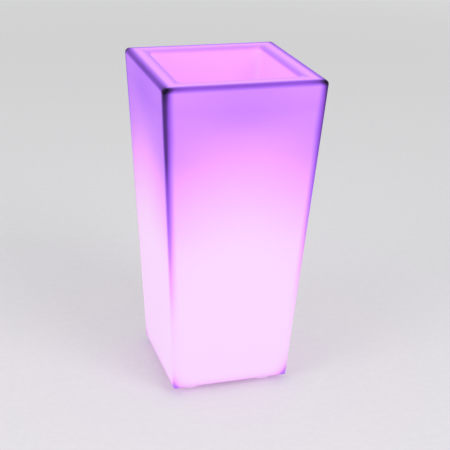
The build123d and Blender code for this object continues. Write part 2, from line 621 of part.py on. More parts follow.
def button_spring():
    """round-wire coil between the button's collar and the control board, round the switch"""
    low_z = COLLAR_Z + BUTTON_COLLAR
    rise = CONTROL_BOARD_Z - low_z - SPRING_WIRE
    pitch = rise / SPRING_TURNS
    path = Helix(pitch=pitch, height=rise, radius=SPRING_RADIUS)
    section = Plane(origin=path @ 0, z_dir=path % 0) * Circle(SPRING_WIRE / 2)
    coil = sweep(section, path=path, is_frenet=True)
    print(f"button spring: gap between turns {pitch - SPRING_WIRE:.2f} mm")
    return Pos(BUTTON_CENTRE[0], BUTTON_CENTRE[1], low_z + SPRING_WIRE / 2) * coil


def charge_socket():
    """panel socket for a round charging plug, with a centre pin and two tails"""
    bore_end_z = SOCKET_FACE_Z + SOCKET_BORE_DEPTH
    socket = rod(SOCKET_FLANGE_RADIUS, SOCKET_FACE_Z, COVER_TOP_Z, SOCKET_CENTRE)
    socket += rod(SOCKET_THREAD_RADIUS, COVER_TOP_Z, SOCKET_END_Z, SOCKET_CENTRE)
    socket -= rod(SOCKET_BORE_RADIUS, SOCKET_FACE_Z - RUN_OVER, bore_end_z, SOCKET_CENTRE)
    socket += rod(SOCKET_PIN_RADIUS, SOCKET_FACE_Z + SOCKET_PIN_INSET, bore_end_z, SOCKET_CENTRE)
    for side in (-1, 1):
        tail_x = SOCKET_CENTRE[0] + side * SOCKET_TAIL_OFFSET
        socket += bar(SOCKET_TAIL, SOCKET_END_Z, (tail_x, SOCKET_CENTRE[1]))
    return socket


def socket_nut():
    low_z = COVER_TOP_Z + SOCKET_PANEL
    hexagon = Pos(*SOCKET_CENTRE, low_z) * RegularPolygon(NUT_HALF_WIDTH, 6, major_radius=False)
    bore = rod(SOCKET_THREAD_RADIUS, low_z - RUN_OVER, low_z + NUT_THICKNESS + RUN_OVER, SOCKET_CENTRE)
    return extrude(hexagon, amount=NUT_THICKNESS) - bore


def port_plug():
    """rubber bung: a flush disc with a hollow nose that goes over the socket's pin, and a tab to pull"""
    face_z = COVER_BOTTOM_Z + PLUG_INSET
    disc_top = face_z + PLUG_DISC
    disc = rod(PLUG_RADIUS, face_z, disc_top, SOCKET_CENTRE)
    disc = fillet(disc.edges().sort_by(Axis.Z)[0], PLUG_EDGE_RADIUS)
    nose = ring(PLUG_NOSE_RADIUS, PLUG_NOSE_BORE_RADIUS, disc_top, disc_top + PLUG_NOSE_LENGTH, SOCKET_CENTRE)
    tab = bar(PLUG_TAB, face_z - PLUG_TAB[2], SOCKET_CENTRE)
    return disc + nose + fillet(tab.edges().filter_by(Axis.Z), PLUG_TAB_CORNER_RADIUS)


def indicator_lens():
    """clear light guide from the status light down to the cover's underside"""
    top_z = CONTROL_BOARD_Z - STATUS_LIGHT_SIZE[2] - LENS_STAND_OUT
    guide = rod(LENS_RADIUS, COVER_BOTTOM_Z - LENS_STAND_OUT, top_z, LENS_CENTRE)
    return guide + rod(LENS_COLLAR_RADIUS, COVER_TOP_Z, COVER_TOP_Z + LENS_COLLAR, LENS_CENTRE)


def lead(name, points):
    """insulated wire along straight runs joined by arcs, each arc as large as its two runs allow"""
    corners = [Vector(*point) for point in points]
    runs = [after - before for before, after in zip(corners, corners[1:])]
    radii = []
    for first, second in zip(runs, runs[1:]):
        half_turn = math.radians(first.get_angle(second)) / 2
        radii.append(LEAD_ARC_SHARE * min(first.length, second.length) / math.tan(half_turn))
    print(name, "bend radii", [round(radius, 1) for radius in radii])
    path = FilletPolyline(*corners, radius=radii)
    section = Plane(origin=path @ 0, z_dir=path % 0) * Circle(LEAD_RADIUS)
    return sweep(section, path=path)


def battery_lead():
    """from the end of the battery holder, round a post, to its plug"""
    start_z = CELL_AXIS_Z - 3
    over_z = PLUG_SOCKET_TOP_Z + 4.5
    points = ((-HOLDER_HALF_LENGTH, -8, start_z), (-45, -8, start_z), (-46, -23, start_z + 5),
              (-36, -37, over_z), (*BATTERY_PLUG_CENTRE, over_z), (*BATTERY_PLUG_CENTRE, PLUG_SOCKET_TOP_Z))
    return lead("battery lead", points)


def light_lead():
    """from its plug, through the slot of the light board and back down onto it"""
    board_top_z = LED_BOARD_Z + BOARD_THICKNESS
    points = ((*LIGHT_PLUG_CENTRE, PLUG_SOCKET_TOP_Z), (*LIGHT_PLUG_CENTRE, PLUG_SOCKET_TOP_Z + 4),
              (0, -47, PLUG_SOCKET_TOP_Z + 6), (0, -47, board_top_z + 5), (0, -40, board_top_z + 5),
              (0, -40, board_top_z))
    return lead("light lead", points)


def charge_lead():
    """from a tail of the charging socket to its plug"""
    tail_x = SOCKET_CENTRE[0] - SOCKET_TAIL_OFFSET
    tail_z = SOCKET_END_Z + SOCKET_TAIL[2]
    points = ((tail_x, SOCKET_CENTRE[1], tail_z), (tail_x, SOCKET_CENTRE[1], tail_z + 6),
              (*CHARGE_PLUG_CENTRE, tail_z + 6), (*CHARGE_PLUG_CENTRE, PLUG_SOCKET_TOP_Z))
    return lead("charge lead", points)


def internal_leads():
    return [battery_lead(), light_lead(), charge_lead()]


PIECES = (planter_body, cover_inserts, base_cover, cover_gasket, cover_screws,
          dome_seal, diffuser_dome, dome_screws,
          led_board, led_board_screws, led_emitters, infrared_receiver,
          battery_holder, battery_contacts, battery_cells, battery_pad,
          control_board, control_board_screws, control_components, button_switch,
          power_button, button_seal, button_spring,
          charge_socket, socket_nut, port_plug, indicator_lens, internal_leads)


def main():
    os.makedirs("parts", exist_ok=True)
    for piece in PIECES:
        shape = piece()
        if isinstance(shape, list):
            shape = Compound(children=shape)
        shape.label = piece.__name__
        export_step(shape, f"parts/{piece.__name__}.step")


main()
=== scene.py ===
import json
import math

import bmesh
import bpy
from mathutils import Matrix, Vector


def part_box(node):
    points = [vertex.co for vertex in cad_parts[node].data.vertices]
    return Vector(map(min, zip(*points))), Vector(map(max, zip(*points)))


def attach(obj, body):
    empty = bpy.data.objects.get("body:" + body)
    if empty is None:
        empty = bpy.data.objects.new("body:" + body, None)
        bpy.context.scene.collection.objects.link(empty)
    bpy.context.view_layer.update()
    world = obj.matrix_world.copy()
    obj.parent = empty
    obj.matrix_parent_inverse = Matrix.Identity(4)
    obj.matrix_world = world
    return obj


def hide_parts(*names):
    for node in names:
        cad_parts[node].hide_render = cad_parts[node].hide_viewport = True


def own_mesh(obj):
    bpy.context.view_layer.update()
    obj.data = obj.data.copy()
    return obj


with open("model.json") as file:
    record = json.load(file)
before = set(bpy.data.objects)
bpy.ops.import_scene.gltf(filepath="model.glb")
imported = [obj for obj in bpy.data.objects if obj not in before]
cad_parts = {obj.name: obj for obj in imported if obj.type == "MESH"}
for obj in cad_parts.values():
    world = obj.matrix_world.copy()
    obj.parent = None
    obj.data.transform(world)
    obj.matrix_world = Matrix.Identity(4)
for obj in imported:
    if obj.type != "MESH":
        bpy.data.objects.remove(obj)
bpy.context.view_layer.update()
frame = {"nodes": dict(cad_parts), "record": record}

# Metres, +Z up, in the planter's own frame: the floor is at 0 and the front side looks along -Y.
RIM_Z = 0.8
UNDERSIDE_Z = 0.0185
RIM_WIDTH = 0.39
BASE_WIDTH = 0.295
OPENING = 0.287
MM = 0.001


class Shade:
    """A socket in a material's node tree. Arithmetic on it adds Math nodes."""

    def __init__(self, tree, socket=None):
        self.tree = tree
        self.socket = socket

    def node(self, kind, settings, inputs, output=0):
        """Any node: its settings are set first, then its sockets get values or links."""
        made = self.tree.nodes.new("ShaderNode" + kind)
        for name, value in settings.items():
            if name == "stops":
                place_stops(made.color_ramp, value)
            else:
                setattr(made, name, value)
        for key, value in inputs.items():
            if isinstance(value, Shade):
                self.tree.links.new(value.socket, made.inputs[key])
            else:
                made.inputs[key].default_value = value
        return Shade(self.tree, made.outputs[output])

    def math(self, operation, *values, clamp=False):
        return self.node("Math", {"operation": operation, "use_clamp": clamp}, dict(enumerate(values)))

    def __add__(self, other):
        return self.math("ADD", self, other)

    def __radd__(self, other):
        return self.math("ADD", other, self)

    def __sub__(self, other):
        return self.math("SUBTRACT", self, other)

    def __rsub__(self, other):
        return self.math("SUBTRACT", other, self)

    def __mul__(self, other):
        return self.math("MULTIPLY", self, other)

    def __rmul__(self, other):
        return self.math("MULTIPLY", other, self)

    def __truediv__(self, other):
        return self.math("DIVIDE", self, other)

    def __abs__(self):
        return self.math("ABSOLUTE", self)

    def clamped(self):
        return self.math("ADD", self, 0.0, clamp=True)

    def smaller(self, other):
        return self.math("MINIMUM", self, other)

    def larger(self, other):
        return self.math("MAXIMUM", self, other)

    def exp(self):
        return self.math("EXPONENT", self)

    def sine(self):
        return self.math("SINE", self)

    def root(self):
        return self.math("SQRT", self)

    def turn(self, other):
        """Angle of the point (other, self) about the origin, in radians."""
        return self.math("ARCTAN2", self, other)

    def rest(self, step):
        """What is left over from whole steps."""
        return self.math("FLOORED_MODULO", self, step)

    def over(self, limit):
        return self.math("GREATER_THAN", self, limit)

    def under(self, limit):
        return self.math("LESS_THAN", self, limit)

    def rise(self, low, high):
        """0 below low, 1 above high, smooth between them."""
        settings = {"interpolation_type": "SMOOTHSTEP", "clamp": True}
        return self.node("MapRange", settings, {"Value": self, "From Min": low, "From Max": high})

    def fall(self, low, high):
        """1 below low, 0 above high, smooth between them."""
        return 1.0 - self.rise(low, high)

    def fading(self, reach):
        """1 at 0, fading exponentially: about a third is left after each reach."""
        return (self / -reach).exp()

    def ramp(self, stops):
        """Colour picked along the stops, each a place from 0 to 1 and a colour as written on screen."""
        colours = [(place, linear(colour)) for place, colour in stops]
        return self.node("ValToRGB", {"stops": colours}, {"Fac": self})

    def level(self, stops):
        """Number picked along the stops, each a place from 0 to 1 and a number from 0 to 1."""
        greys = [(place, (number, number, number)) for place, number in stops]
        ramp = self.node("ValToRGB", {"stops": greys}, {"Fac": self})
        return self.node("SeparateColor", {}, {"Color": ramp})


def place_stops(ramp, stops):
    """Fills a colour ramp with stops."""
    for place, _ in stops[2:]:
        ramp.elements.new(place)
    for element, (place, colour) in zip(ramp.elements, stops):
        element.position = place
        element.color = (*colour, 1.0)


def linear(colour):
    """Linear light of a screen colour."""
    return tuple(c / 12.92 if c <= 0.04045 else ((c + 0.055) / 1.055) ** 2.4 for c in colour)


def length(first, second):
    """Distance from the origin of the point (first, second)."""
    return (first * first + second * second).root()


def mixed(factor, first, second):
    """Colour between two others."""
    settings = {"data_type": "RGBA", "clamp_factor": True}
    return factor.node("Mix", settings, {0: factor, 6: as_colour(first), 7: as_colour(second)}, 2)


def as_colour(colour):
    """A colour socket as it is, or a screen colour as four linear numbers."""
    return colour if isinstance(colour, Shade) else (*linear(colour), 1.0)


def dimmed(colour, amount):
    """Colour times a plain number."""
    settings = {"data_type": "RGBA", "blend_type": "MULTIPLY"}
    return colour.node("Mix", settings, {0: 1.0, 6: colour, 7: (amount, amount, amount, 1.0)}, 2)


class Finish:
    """A new material with its Principled shader, and the place of a point in the planter's frame."""

    def __init__(self, name, **constants):
        self.material = bpy.data.materials.new(name)
        self.material.use_nodes = True
        self.tree = self.material.node_tree
        self.shader = self.tree.nodes["Principled BSDF"]
        self.start = Shade(self.tree)
        self.place = self.start.node("TexCoord", {}, {}, "Object")
        split = self.start.node("SeparateXYZ", {}, {"Vector": self.place})
        self.x, self.y, self.z = (Shade(self.tree, output) for output in split.socket.node.outputs)
        for socket, value in constants.items():
            self.shader.inputs[socket.replace("_", " ")].default_value = value

    def noise(self, scale, detail=2.0, roughness=0.5, stretch=(1, 1, 1)):
        """Noise from 0 to 1 with about scale lumps to the metre."""
        place = self.start.node("Mapping", {}, {"Vector": self.place, "Scale": stretch})
        inputs = {"Vector": place, "Scale": scale, "Detail": detail, "Roughness": roughness}
        return self.start.node("TexNoise", {}, inputs)

    def cells(self, scale, stretch=(1, 1, 1)):
        """Distance to the nearest of scattered points, about scale of them to the metre."""
        place = self.start.node("Mapping", {}, {"Vector": self.place, "Scale": stretch})
        return self.start.node("TexVoronoi", {}, {"Vector": place, "Scale": scale})

    def around(self, centre):
        """Distance from an upright axis, and angle about it."""
        x, y = self.x - centre[0], self.y - centre[1]
        return length(x, y), y.turn(x)

    def within(self, centre, half):
        """1 inside the upright block of those half sizes about a centre."""
        across, along = abs(self.x - centre[0]) / half[0], abs(self.y - centre[1]) / half[1]
        return across.larger(along).under(1.0)

    def facing_up(self):
        """1 where the surface looks up, -1 where it looks down."""
        normal = self.start.node("NewGeometry", {}, {}, "Normal")
        return self.start.node("SeparateXYZ", {}, {"Vector": normal}, "Z")

    def feed(self, socket, value):
        """Links a worked-out value or colour to one of the shader's sockets."""
        self.tree.links.new(value.socket, self.shader.inputs[socket])

    def relief(self, height, distance, strength=1.0):
        """Bump, distance metres deep from height 0 to height 1."""
        inputs = {"Strength": strength, "Distance": distance, "Height": height}
        self.feed("Normal", self.start.node("Bump", {}, inputs))


# Colours of the moulding's painted glow and shade, from its darkest edges to its brightest faces
GLOW_STOPS = (
    (0.0, (0.03, 0.0, 0.08)),
    (0.28, (0.36, 0.20, 0.55)),
    (0.38, (0.56, 0.31, 0.84)),
    (0.51, (0.70, 0.43, 0.98)),
    (0.65, (0.845, 0.55, 1.0)),
    (0.75, (0.97, 0.645, 1.0)),
    (1.0, (0.985, 0.855, 1.0)),
)
# Purer violet painted glow along the outer edges of the rim's two side bars, and its share there
RIM_EDGE_GLOW_COLOUR = (0.52, 0.22, 0.82)
RIM_EDGE_GLOW_SHARE = 0.4
# Share of the moulding's painted glow given off as its own light; the rest is painted into its base colour,
# lit from outside
GLOW_SHARE = 0.45

# Brightness up the middle of a face, and how much less it is at the face's two sides, by share of the height
FACE_GLOW = ((0.0, 0.97), (0.05, 1.0), (0.44, 1.0), (0.5, 0.985), (0.6, 0.918), (0.7, 0.835), (0.8, 0.743),
             (0.875, 0.68), (0.925, 0.648), (1.0, 0.675))
SIDE_FALL = ((0.3, 0.0), (0.45, 0.03), (0.6, 0.08), (0.78, 0.09), (0.86, 0.03), (0.9, 0.0))
# Darkness of the upright edges, by share of the height
EDGE_FALL = ((0.08, 0.0), (0.25, 0.05), (0.375, 0.16), (0.5, 0.28), (0.6, 0.31), (0.75, 0.33), (0.86, 0.36),
             (0.94, 0.37), (0.99, 0.43))
# Brightness of the rim and the basin by depth below the rim in metres; the underside comes last
INNER_GLOW = ((0.0, 0.718), (0.004, 0.73), (0.012, 0.8), (0.1, 0.8), (0.2, 0.82), (0.27, 0.9), (0.79, 0.97))

# What the brightness loses besides: on the two faces that look along X, and under the rim mid-face
CROSS_FACES_FALL, UNDER_RIM_FALL = 0.09, 0.025
# How far the darkness of an upright edge reaches, low down and near the rim
EDGE_REACH, EDGE_REACH_AT_RIM = 21.5 * MM, 27.0 * MM
# A thin line of deeper painted shade along two opposite upright edges: its share of what these lose, and its
# reach
EDGE_LINE_SHADE_SHARE, EDGE_LINE_SHADE_REACH = 0.85, 3.0 * MM
# Along the rim's outer edge, with its reach across the rim and down the faces, and at the rim's corners
RIM_EDGE_FALL, RIM_EDGE_REACH, RIM_EDGE_DEPTH = 0.29, 17.0 * MM, 12.0 * MM
RIM_CORNER_FALL, RIM_CORNER_REACH = 0.3, 20.0 * MM
# Along the basin's lip at front and back and at the two other sides, with its reach across the rim and down
FRONT_LIP_FALL, SIDE_LIP_FALL, LIP_REACH, LIP_DEPTH = 0.07, 0.15, 21.0 * MM, 10.0 * MM
# Along the underside's edges, and at its corners with the reach along the edges and up
BASE_EDGE_FALL, BASE_EDGE_REACH = 0.2, 6.0 * MM
BASE_CORNER_FALL, BASE_CORNER_REACH, BASE_CORNER_HEIGHT = 0.34, 10.5 * MM, 20.5 * MM
# What the brightness gains in the basin's upright corners, and how wide these are
BASIN_CORNER_GAIN, BASIN_CORNER_REACH = 0.035, 35.0 * MM


class Moulding(Finish):
    """Painted glow and shade of the lit body, with the places that its light follows. Its lengths are in
    metres.
    """

    def __init__(self, name, **constants):
        super().__init__(name, **constants)
        widening = (RIM_WIDTH - BASE_WIDTH) / 2 / (RIM_Z - UNDERSIDE_Z)
        half = (self.z - UNDERSIDE_Z) * widening + BASE_WIDTH / 2
        x, y = abs(self.x), abs(self.y)
        self.far, self.near = x.larger(y), x.smaller(y)
        self.inset = (half - self.far).larger(0.0)
        self.from_upright = length(self.inset, (half - self.near).larger(0.0))
        self.off_middle = self.near / half
        self.below_rim = (RIM_Z - self.z).larger(0.0)
        self.above_base = (self.z - UNDERSIDE_Z).larger(0.0)
        self.height = self.z / RIM_Z + (self.noise(6.0, 3.0) - 0.5) * 0.035
        self.sideways = (x - y).rise(-10 * MM, 10 * MM)
        reach = self.height.rise(0.75, 0.87) * (EDGE_REACH_AT_RIM - EDGE_REACH) + EDGE_REACH
        self.upright_edge = (self.from_upright / reach).fall(0.0, 1.0)
        inwards, down = (self.inset - 7 * MM) / RIM_EDGE_REACH, (self.below_rim - 2 * MM) / RIM_EDGE_DEPTH
        self.rim_edge = inwards.larger(down).fall(0.0, 1.0)

    def faces(self):
        """Brightness of the four faces, and of rim, basin and underside where the walls turn inwards."""
        face = self.height.level(FACE_GLOW) - self.off_middle * self.off_middle * self.height.level(SIDE_FALL)
        face = face - self.sideways * self.height.rise(0.35, 1.0) * CROSS_FACES_FALL
        face = face - self.off_middle.fall(0.0, 0.75) * self.height.rise(0.84, 0.92) * UNDER_RIM_FALL
        face = face - self.above_base.fading(BASE_EDGE_REACH) * BASE_EDGE_FALL
        return face + (self.below_rim.level(INNER_GLOW) - face) * self.inset.rise(2 * MM, 12 * MM)

    def outer_edges(self):
        """Painted shade along the upright edges, deeper on a thin line at two of them, along the rim's outer
        edge and at its corners.
        """
        # A thin line of deeper painted shade along the front-left and back-right upright edges
        edge_line_shade = (self.x * self.y).over(0.0) * self.from_upright.fading(EDGE_LINE_SHADE_REACH) * EDGE_LINE_SHADE_SHARE
        upright = (self.upright_edge + edge_line_shade) * self.height.level(EDGE_FALL)
        from_corner = self.from_upright + self.below_rim
        corner = self.rim_edge.larger(self.upright_edge) * from_corner.fading(RIM_CORNER_REACH)
        return upright + self.rim_edge * RIM_EDGE_FALL + corner * RIM_CORNER_FALL

    def basin_edges(self):
        """Darkness along the basin's lip, less the light that gathers in the basin's upright corners."""
        across, down = self.far - (OPENING / 2 + 2 * MM), self.below_rim - 2 * MM
        lip = length(across / LIP_REACH, down / LIP_DEPTH).fall(0.0, 1.0)
        lip = lip * (self.sideways * (SIDE_LIP_FALL - FRONT_LIP_FALL) + FRONT_LIP_FALL)
        basin_wall = self.far.rise(120 * MM, 130 * MM) * self.inset.rise(40 * MM, 50 * MM)
        return lip - basin_wall * (self.far - self.near).fall(0.0, BASIN_CORNER_REACH) * BASIN_CORNER_GAIN

    def base_corners(self):
        """Darkness at the base's four corners, a little more at those on the +X side."""
        away = self.from_upright / BASE_CORNER_REACH + self.above_base / BASE_CORNER_HEIGHT
        towards_x = self.x.rise(-100 * MM, 100 * MM) * 0.4 + 0.9
        return (away.fading(1.0) * towards_x).smaller(BASE_CORNER_FALL)


def glowing_moulding():
    """Milky polyethylene lit from its foot, with painted glow and shade: pale pink low down, violet at the
    rim, dark along its edges.
    """
    finish = Moulding("glowing_polyethylene", IOR=1.5, Specular_IOR_Level=0.08, Emission_Strength=GLOW_SHARE)
    glow = finish.faces() - finish.outer_edges() - finish.basin_edges() - finish.base_corners()
    # Painted violet glow along the rim's outer edges at the two sides
    violet = finish.rim_edge * finish.sideways * (1.0 - finish.upright_edge) * RIM_EDGE_GLOW_SHARE
    colour = mixed(violet, glow.clamped().ramp(GLOW_STOPS), RIM_EDGE_GLOW_COLOUR)
    # The painted glow and shade go into the base colour, dimmed, and into the emission
    finish.feed("Base Color", dimmed(colour, 1 - GLOW_SHARE))
    finish.feed("Emission Color", colour)
    grain = finish.noise(420.0, 3.0, 0.6)
    finish.feed("Roughness", 0.36 + grain * 0.16 + finish.noise(14.0) * 0.06)
    finish.relief(grain + finish.noise(28.0, 2.0) * 3.0, 0.4 * MM, 0.5)
    return finish.material


def moulded_plastic(name, light, dark, roughness=0.42, grain_scale=900.0, **constants):
    """Injection-moulded plastic: even colour with faint flow marks over a fine spark-eroded grain."""
    finish = Finish(name, Specular_IOR_Level=0.45, **constants)
    grain = finish.cells(grain_scale)
    flow = finish.noise(38.0, 3.0, 0.5, (1.0, 2.5, 1.0))
    finish.feed("Base Color", mixed(flow * 0.7 + grain * 0.3, dark, light))
    finish.feed("Roughness", roughness + grain * 0.14 + flow * 0.08)
    finish.relief(grain, 0.06 * MM, 0.6)
    return finish


def soft_rubber(name, light, dark):
    """Matt rubber with a dusting of fine specks."""
    finish = Finish(name, Specular_IOR_Level=0.3)
    specks = finish.noise(2600.0, 2.0).rise(0.62, 0.72)
    cloud = finish.noise(120.0, 3.0)
    finish.feed("Base Color", mixed(cloud + specks * 0.5, dark, light))
    finish.feed("Roughness", 0.62 + cloud * 0.2)
    finish.relief(finish.noise(1500.0, 3.0), 0.05 * MM, 0.5)
    return finish


def plain_metal(name, light, dark, roughness, stretch=(1, 1, 1)):
    """Bright metal with drawn or turned marks along one direction."""
    finish = Finish(name, Metallic=1.0)
    marks = finish.noise(1400.0, 3.0, 0.6, stretch)
    tarnish = finish.noise(160.0, 3.0)
    finish.feed("Base Color", mixed(tarnish * 0.6 + marks * 0.4, dark, light))
    finish.feed("Roughness", roughness + marks * 0.12 + tarnish * 0.08)
    finish.relief(marks, 0.02 * MM, 0.4)
    return finish


# Places and sizes of the smaller pieces, in metres, as the solids have them
BUTTON_AT = (-0.016, -0.042)
BUTTON_DISH = 0.5 * MM
SOCKET_AT = (0.018, -0.042)
SOCKET_TAIL_AT = (0.0155, -0.042)
CHIP_AT = (-0.014, -0.046)
CHIP_HALF_WIDTH = 1.95 * MM
COIL_AT = (-0.019, -0.0376)
COIL_HEIGHT = 3.2 * MM
CAPACITOR_AT = (-0.009, -0.037)
PLUG_SOCKETS = (((-0.0255, -0.043), (5.0 * MM, 6.0 * MM)), ((-0.001, -0.035), (6.0 * MM, 4.4 * MM)),
                ((0.002, -0.041), (4.4 * MM, 5.0 * MM)))
PLUG_SOCKET_HEIGHT = 5.0 * MM
LIGHT_LEAD_END = (0.0, -0.04)
BATTERY_LEAD_START = (-0.0353, -0.008, 0.0332)
RECEIVER_LEG_PITCH = 1.8 * MM
LED_RINGS = ((6, 0.017), (12, 0.036))
LED_RINGS_TURN = 15.0
LED_SIZE = 5.0 * MM
LED_WINDOW_DEPTH = 0.3 * MM


def cover_finish():
    """Pale grained plastic."""
    return moulded_plastic("cover_plastic", (0.86, 0.84, 0.88), (0.79, 0.77, 0.82), 0.48).material


def dome_finish():
    """Frosted polycarbonate that carries the lamp's light, brightest at its crown, with that light painted
    into its base colour too.
    """
    finish = Finish("frosted_polycarbonate", IOR=1.58, Specular_IOR_Level=0.4, Emission_Strength=0.45)
    low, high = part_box("diffuser_dome")
    crown = ((finish.z - low.z) / (high.z - low.z)).clamped()
    frost = finish.noise(1100.0, 2.0)
    foot_to_crown = ((0.0, (0.80, 0.76, 0.84)), (0.3, (0.90, 0.78, 0.95)), (1.0, (0.99, 0.88, 1.0)))
    colour = (crown * 0.9 + frost * 0.1).ramp(foot_to_crown)
    # Painted light of the lamp, brighter towards the crown, in the base colour
    finish.feed("Base Color", dimmed(colour, 0.8))
    finish.feed("Emission Color", colour)
    finish.feed("Roughness", 0.5 + frost * 0.2)
    finish.relief(frost, 0.04 * MM, 0.6)
    return finish.material


def light_board_finish():
    """White solder mask over two broken ring tracks and short spokes between them, with a bare edge."""
    ring_half_width, break_half_width, spoke_half_width = 3.5 * MM, 0.7 * MM, 1.2 * MM
    spokes_from, spokes_to, edge_from = 20.0 * MM, 33.0 * MM, 49.2 * MM
    finish = Finish("white_board", Specular_IOR_Level=0.5)
    radius, angle = finish.around((0.0, 0.0))
    tracks = finish.z * 0.0
    for count, ring in LED_RINGS:
        band = (1.0 - abs(radius - ring) / ring_half_width).clamped().rise(0.0, 0.3)
        gap = abs((angle - math.radians(LED_RINGS_TURN)).rest(2 * math.pi / count) - math.pi / count)
        tracks = tracks.larger(band * (gap * ring).rise(break_half_width - 0.3 * MM, break_half_width))
    spoke = 1.0 - abs(angle.rest(math.pi / 3) - math.pi / 6) * radius / spoke_half_width
    spoke = spoke.clamped().rise(0.0, 0.3) * radius.rise(spokes_from - 0.5 * MM, spokes_from)
    tracks = tracks.larger(spoke * radius.fall(spokes_to, spokes_to + 0.5 * MM))
    edge = radius.rise(edge_from - 0.4 * MM, edge_from)
    weave = finish.noise(900.0, 2.0)
    board = mixed(tracks, (0.90, 0.90, 0.885), (0.945, 0.945, 0.935))
    finish.feed("Base Color", mixed(edge, board, (0.80, 0.74, 0.55)))
    finish.feed("Roughness", 0.3 + weave * 0.12 + edge * 0.3)
    finish.relief(tracks + weave * 0.15, 0.12 * MM, 0.8)
    return finish.material


def copper_tracks(finish, turn_deg):
    """1 on parallel tracks that run along one direction, 0 between them. Their sizes are in millimetres."""
    turn = (0.0, 0.0, math.radians(turn_deg))
    place = finish.start.node("Mapping", {}, {"Vector": finish.place, "Rotation": turn})
    tracks = {"Scale": 1 / MM, "Brick Width": 7.3, "Row Height": 0.85}
    gaps = {"Mortar Size": 0.22, "Mortar Smooth": 0.3}
    staggered = {"offset": 0.37, "offset_frequency": 3}
    return 1.0 - finish.start.node("TexBrick", staggered, {"Vector": place, **tracks, **gaps}, "Fac")


def control_board_finish():
    """Green solder mask over copper tracks and small through holes, painted dark as the shade inside them,
    with a bare edge of resin and glass.
    """
    finish = Finish("green_board", Specular_IOR_Level=0.55)
    crossing = finish.noise(110.0, 1.0).over(0.5)
    tracks = copper_tracks(finish, 0.0) * crossing + copper_tracks(finish, 90.0) * (1.0 - crossing)
    from_hole = finish.cells(260.0, (1.0, 1.0, 0.01))
    # Painted shade inside the through holes
    hole_shade = from_hole.under(0.07)
    collar = from_hole.under(0.15) - hole_shade
    low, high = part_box("control_board")
    across = (high.x - low.x) / 2 - abs(finish.x - (high.x + low.x) / 2)
    along = (high.y - low.y) / 2 - abs(finish.y - (high.y + low.y) / 2)
    edge = across.smaller(along).fall(0.2 * MM, 0.4 * MM)
    weave = finish.noise(1200.0, 2.0)
    board = mixed(tracks, (0.04, 0.27, 0.13), (0.08, 0.37, 0.18))
    board = mixed(hole_shade, mixed(collar, board, (0.74, 0.66, 0.42)), (0.03, 0.06, 0.04))
    finish.feed("Base Color", mixed(edge, board, (0.62, 0.60, 0.36)))
    finish.feed("Roughness", 0.26 + weave * 0.14 + edge * 0.35)
    finish.relief(tracks + collar * 0.3 + weave * 0.2, 0.06 * MM, 0.6)
    return finish.material


def emitter_finish():
    """White ceramic package round a yellow resin window with the lit dies under it."""
    finish = Finish("led_package", Specular_IOR_Level=0.5, Emission_Strength=0.9)
    _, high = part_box("led_emitters")
    window = (high.z - finish.z).rise(0.1 * MM, 0.2 * MM) * finish.facing_up().over(0.5)
    grain = finish.noise(2200.0, 2.0)
    ceramic = mixed(grain, (0.90, 0.90, 0.88), (0.95, 0.95, 0.93))
    finish.feed("Base Color", mixed(window, ceramic, (0.93, 0.80, 0.42)))
    finish.feed("Emission Color", mixed(window, (0.0, 0.0, 0.0), (0.96, 0.55, 1.0)))
    finish.feed("Roughness", 0.45 - window * 0.3 + grain * 0.1)
    finish.relief(grain, 0.02 * MM, 0.4)
    return finish.material


def receiver_finish():
    """Dark resin case on tinned legs."""
    leg_height = 2.0 * MM
    finish = Finish("dark_epoxy", Specular_IOR_Level=0.55)
    low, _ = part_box("infrared_receiver")
    leg = (finish.z - low.z).under(leg_height)
    cloud = finish.noise(800.0, 2.0)
    resin = mixed(cloud, (0.05, 0.035, 0.05), (0.09, 0.06, 0.085))
    finish.feed("Base Color", mixed(leg, resin, (0.74, 0.73, 0.70)))
    finish.feed("Metallic", leg)
    finish.feed("Roughness", 0.14 + cloud * 0.1 + leg * 0.2)
    finish.relief(cloud, 0.02 * MM, 0.3)
    return finish.material


def cell_finish():
    """Blue shrink sleeve with a pale stripe near each bare steel end, and a white washer in one end."""
    sleeve_from, washer_from, stripe_from, stripe_to, blur = 1.9 * MM, 1.0 * MM, 9.7 * MM, 11.5 * MM, 0.2 * MM
    finish = Finish("cell_sleeve", Specular_IOR_Level=0.5)
    _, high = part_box("battery_cells")
    from_end = high.x - abs(finish.x)
    bare = from_end.fall(sleeve_from - blur, sleeve_from)
    washer = bare * finish.x.over(0.0) * from_end.rise(washer_from - blur / 2, washer_from)
    stripe = from_end.rise(stripe_from - blur, stripe_from) * from_end.fall(stripe_to, stripe_to + blur)
    crease = finish.noise(90.0, 3.0, 0.5, (0.25, 4.0, 4.0))
    sleeve = mixed(stripe, mixed(crease, (0.10, 0.31, 0.57), (0.15, 0.42, 0.70)), (0.86, 0.88, 0.9))
    colour = mixed(bare, sleeve, (0.76, 0.75, 0.73))
    finish.feed("Base Color", mixed(washer, colour, (0.90, 0.90, 0.88)))
    finish.feed("Metallic", bare - washer)
    finish.feed("Roughness", 0.26 + crease * 0.16)
    finish.relief(crease, 0.08 * MM, 0.5)
    return finish.material


def foam_finish():
    """Closed-cell foam, its cut faces full of small pits."""
    finish = Finish("foam", Specular_IOR_Level=0.2)
    pits = finish.cells(1300.0)
    finish.feed("Base Color", mixed(pits.rise(0.1, 0.6), (0.09, 0.09, 0.10), (0.20, 0.20, 0.21)))
    finish.feed("Roughness", 0.8 + pits * 0.15)
    finish.relief(pits, 0.3 * MM, 0.9)
    return finish.material


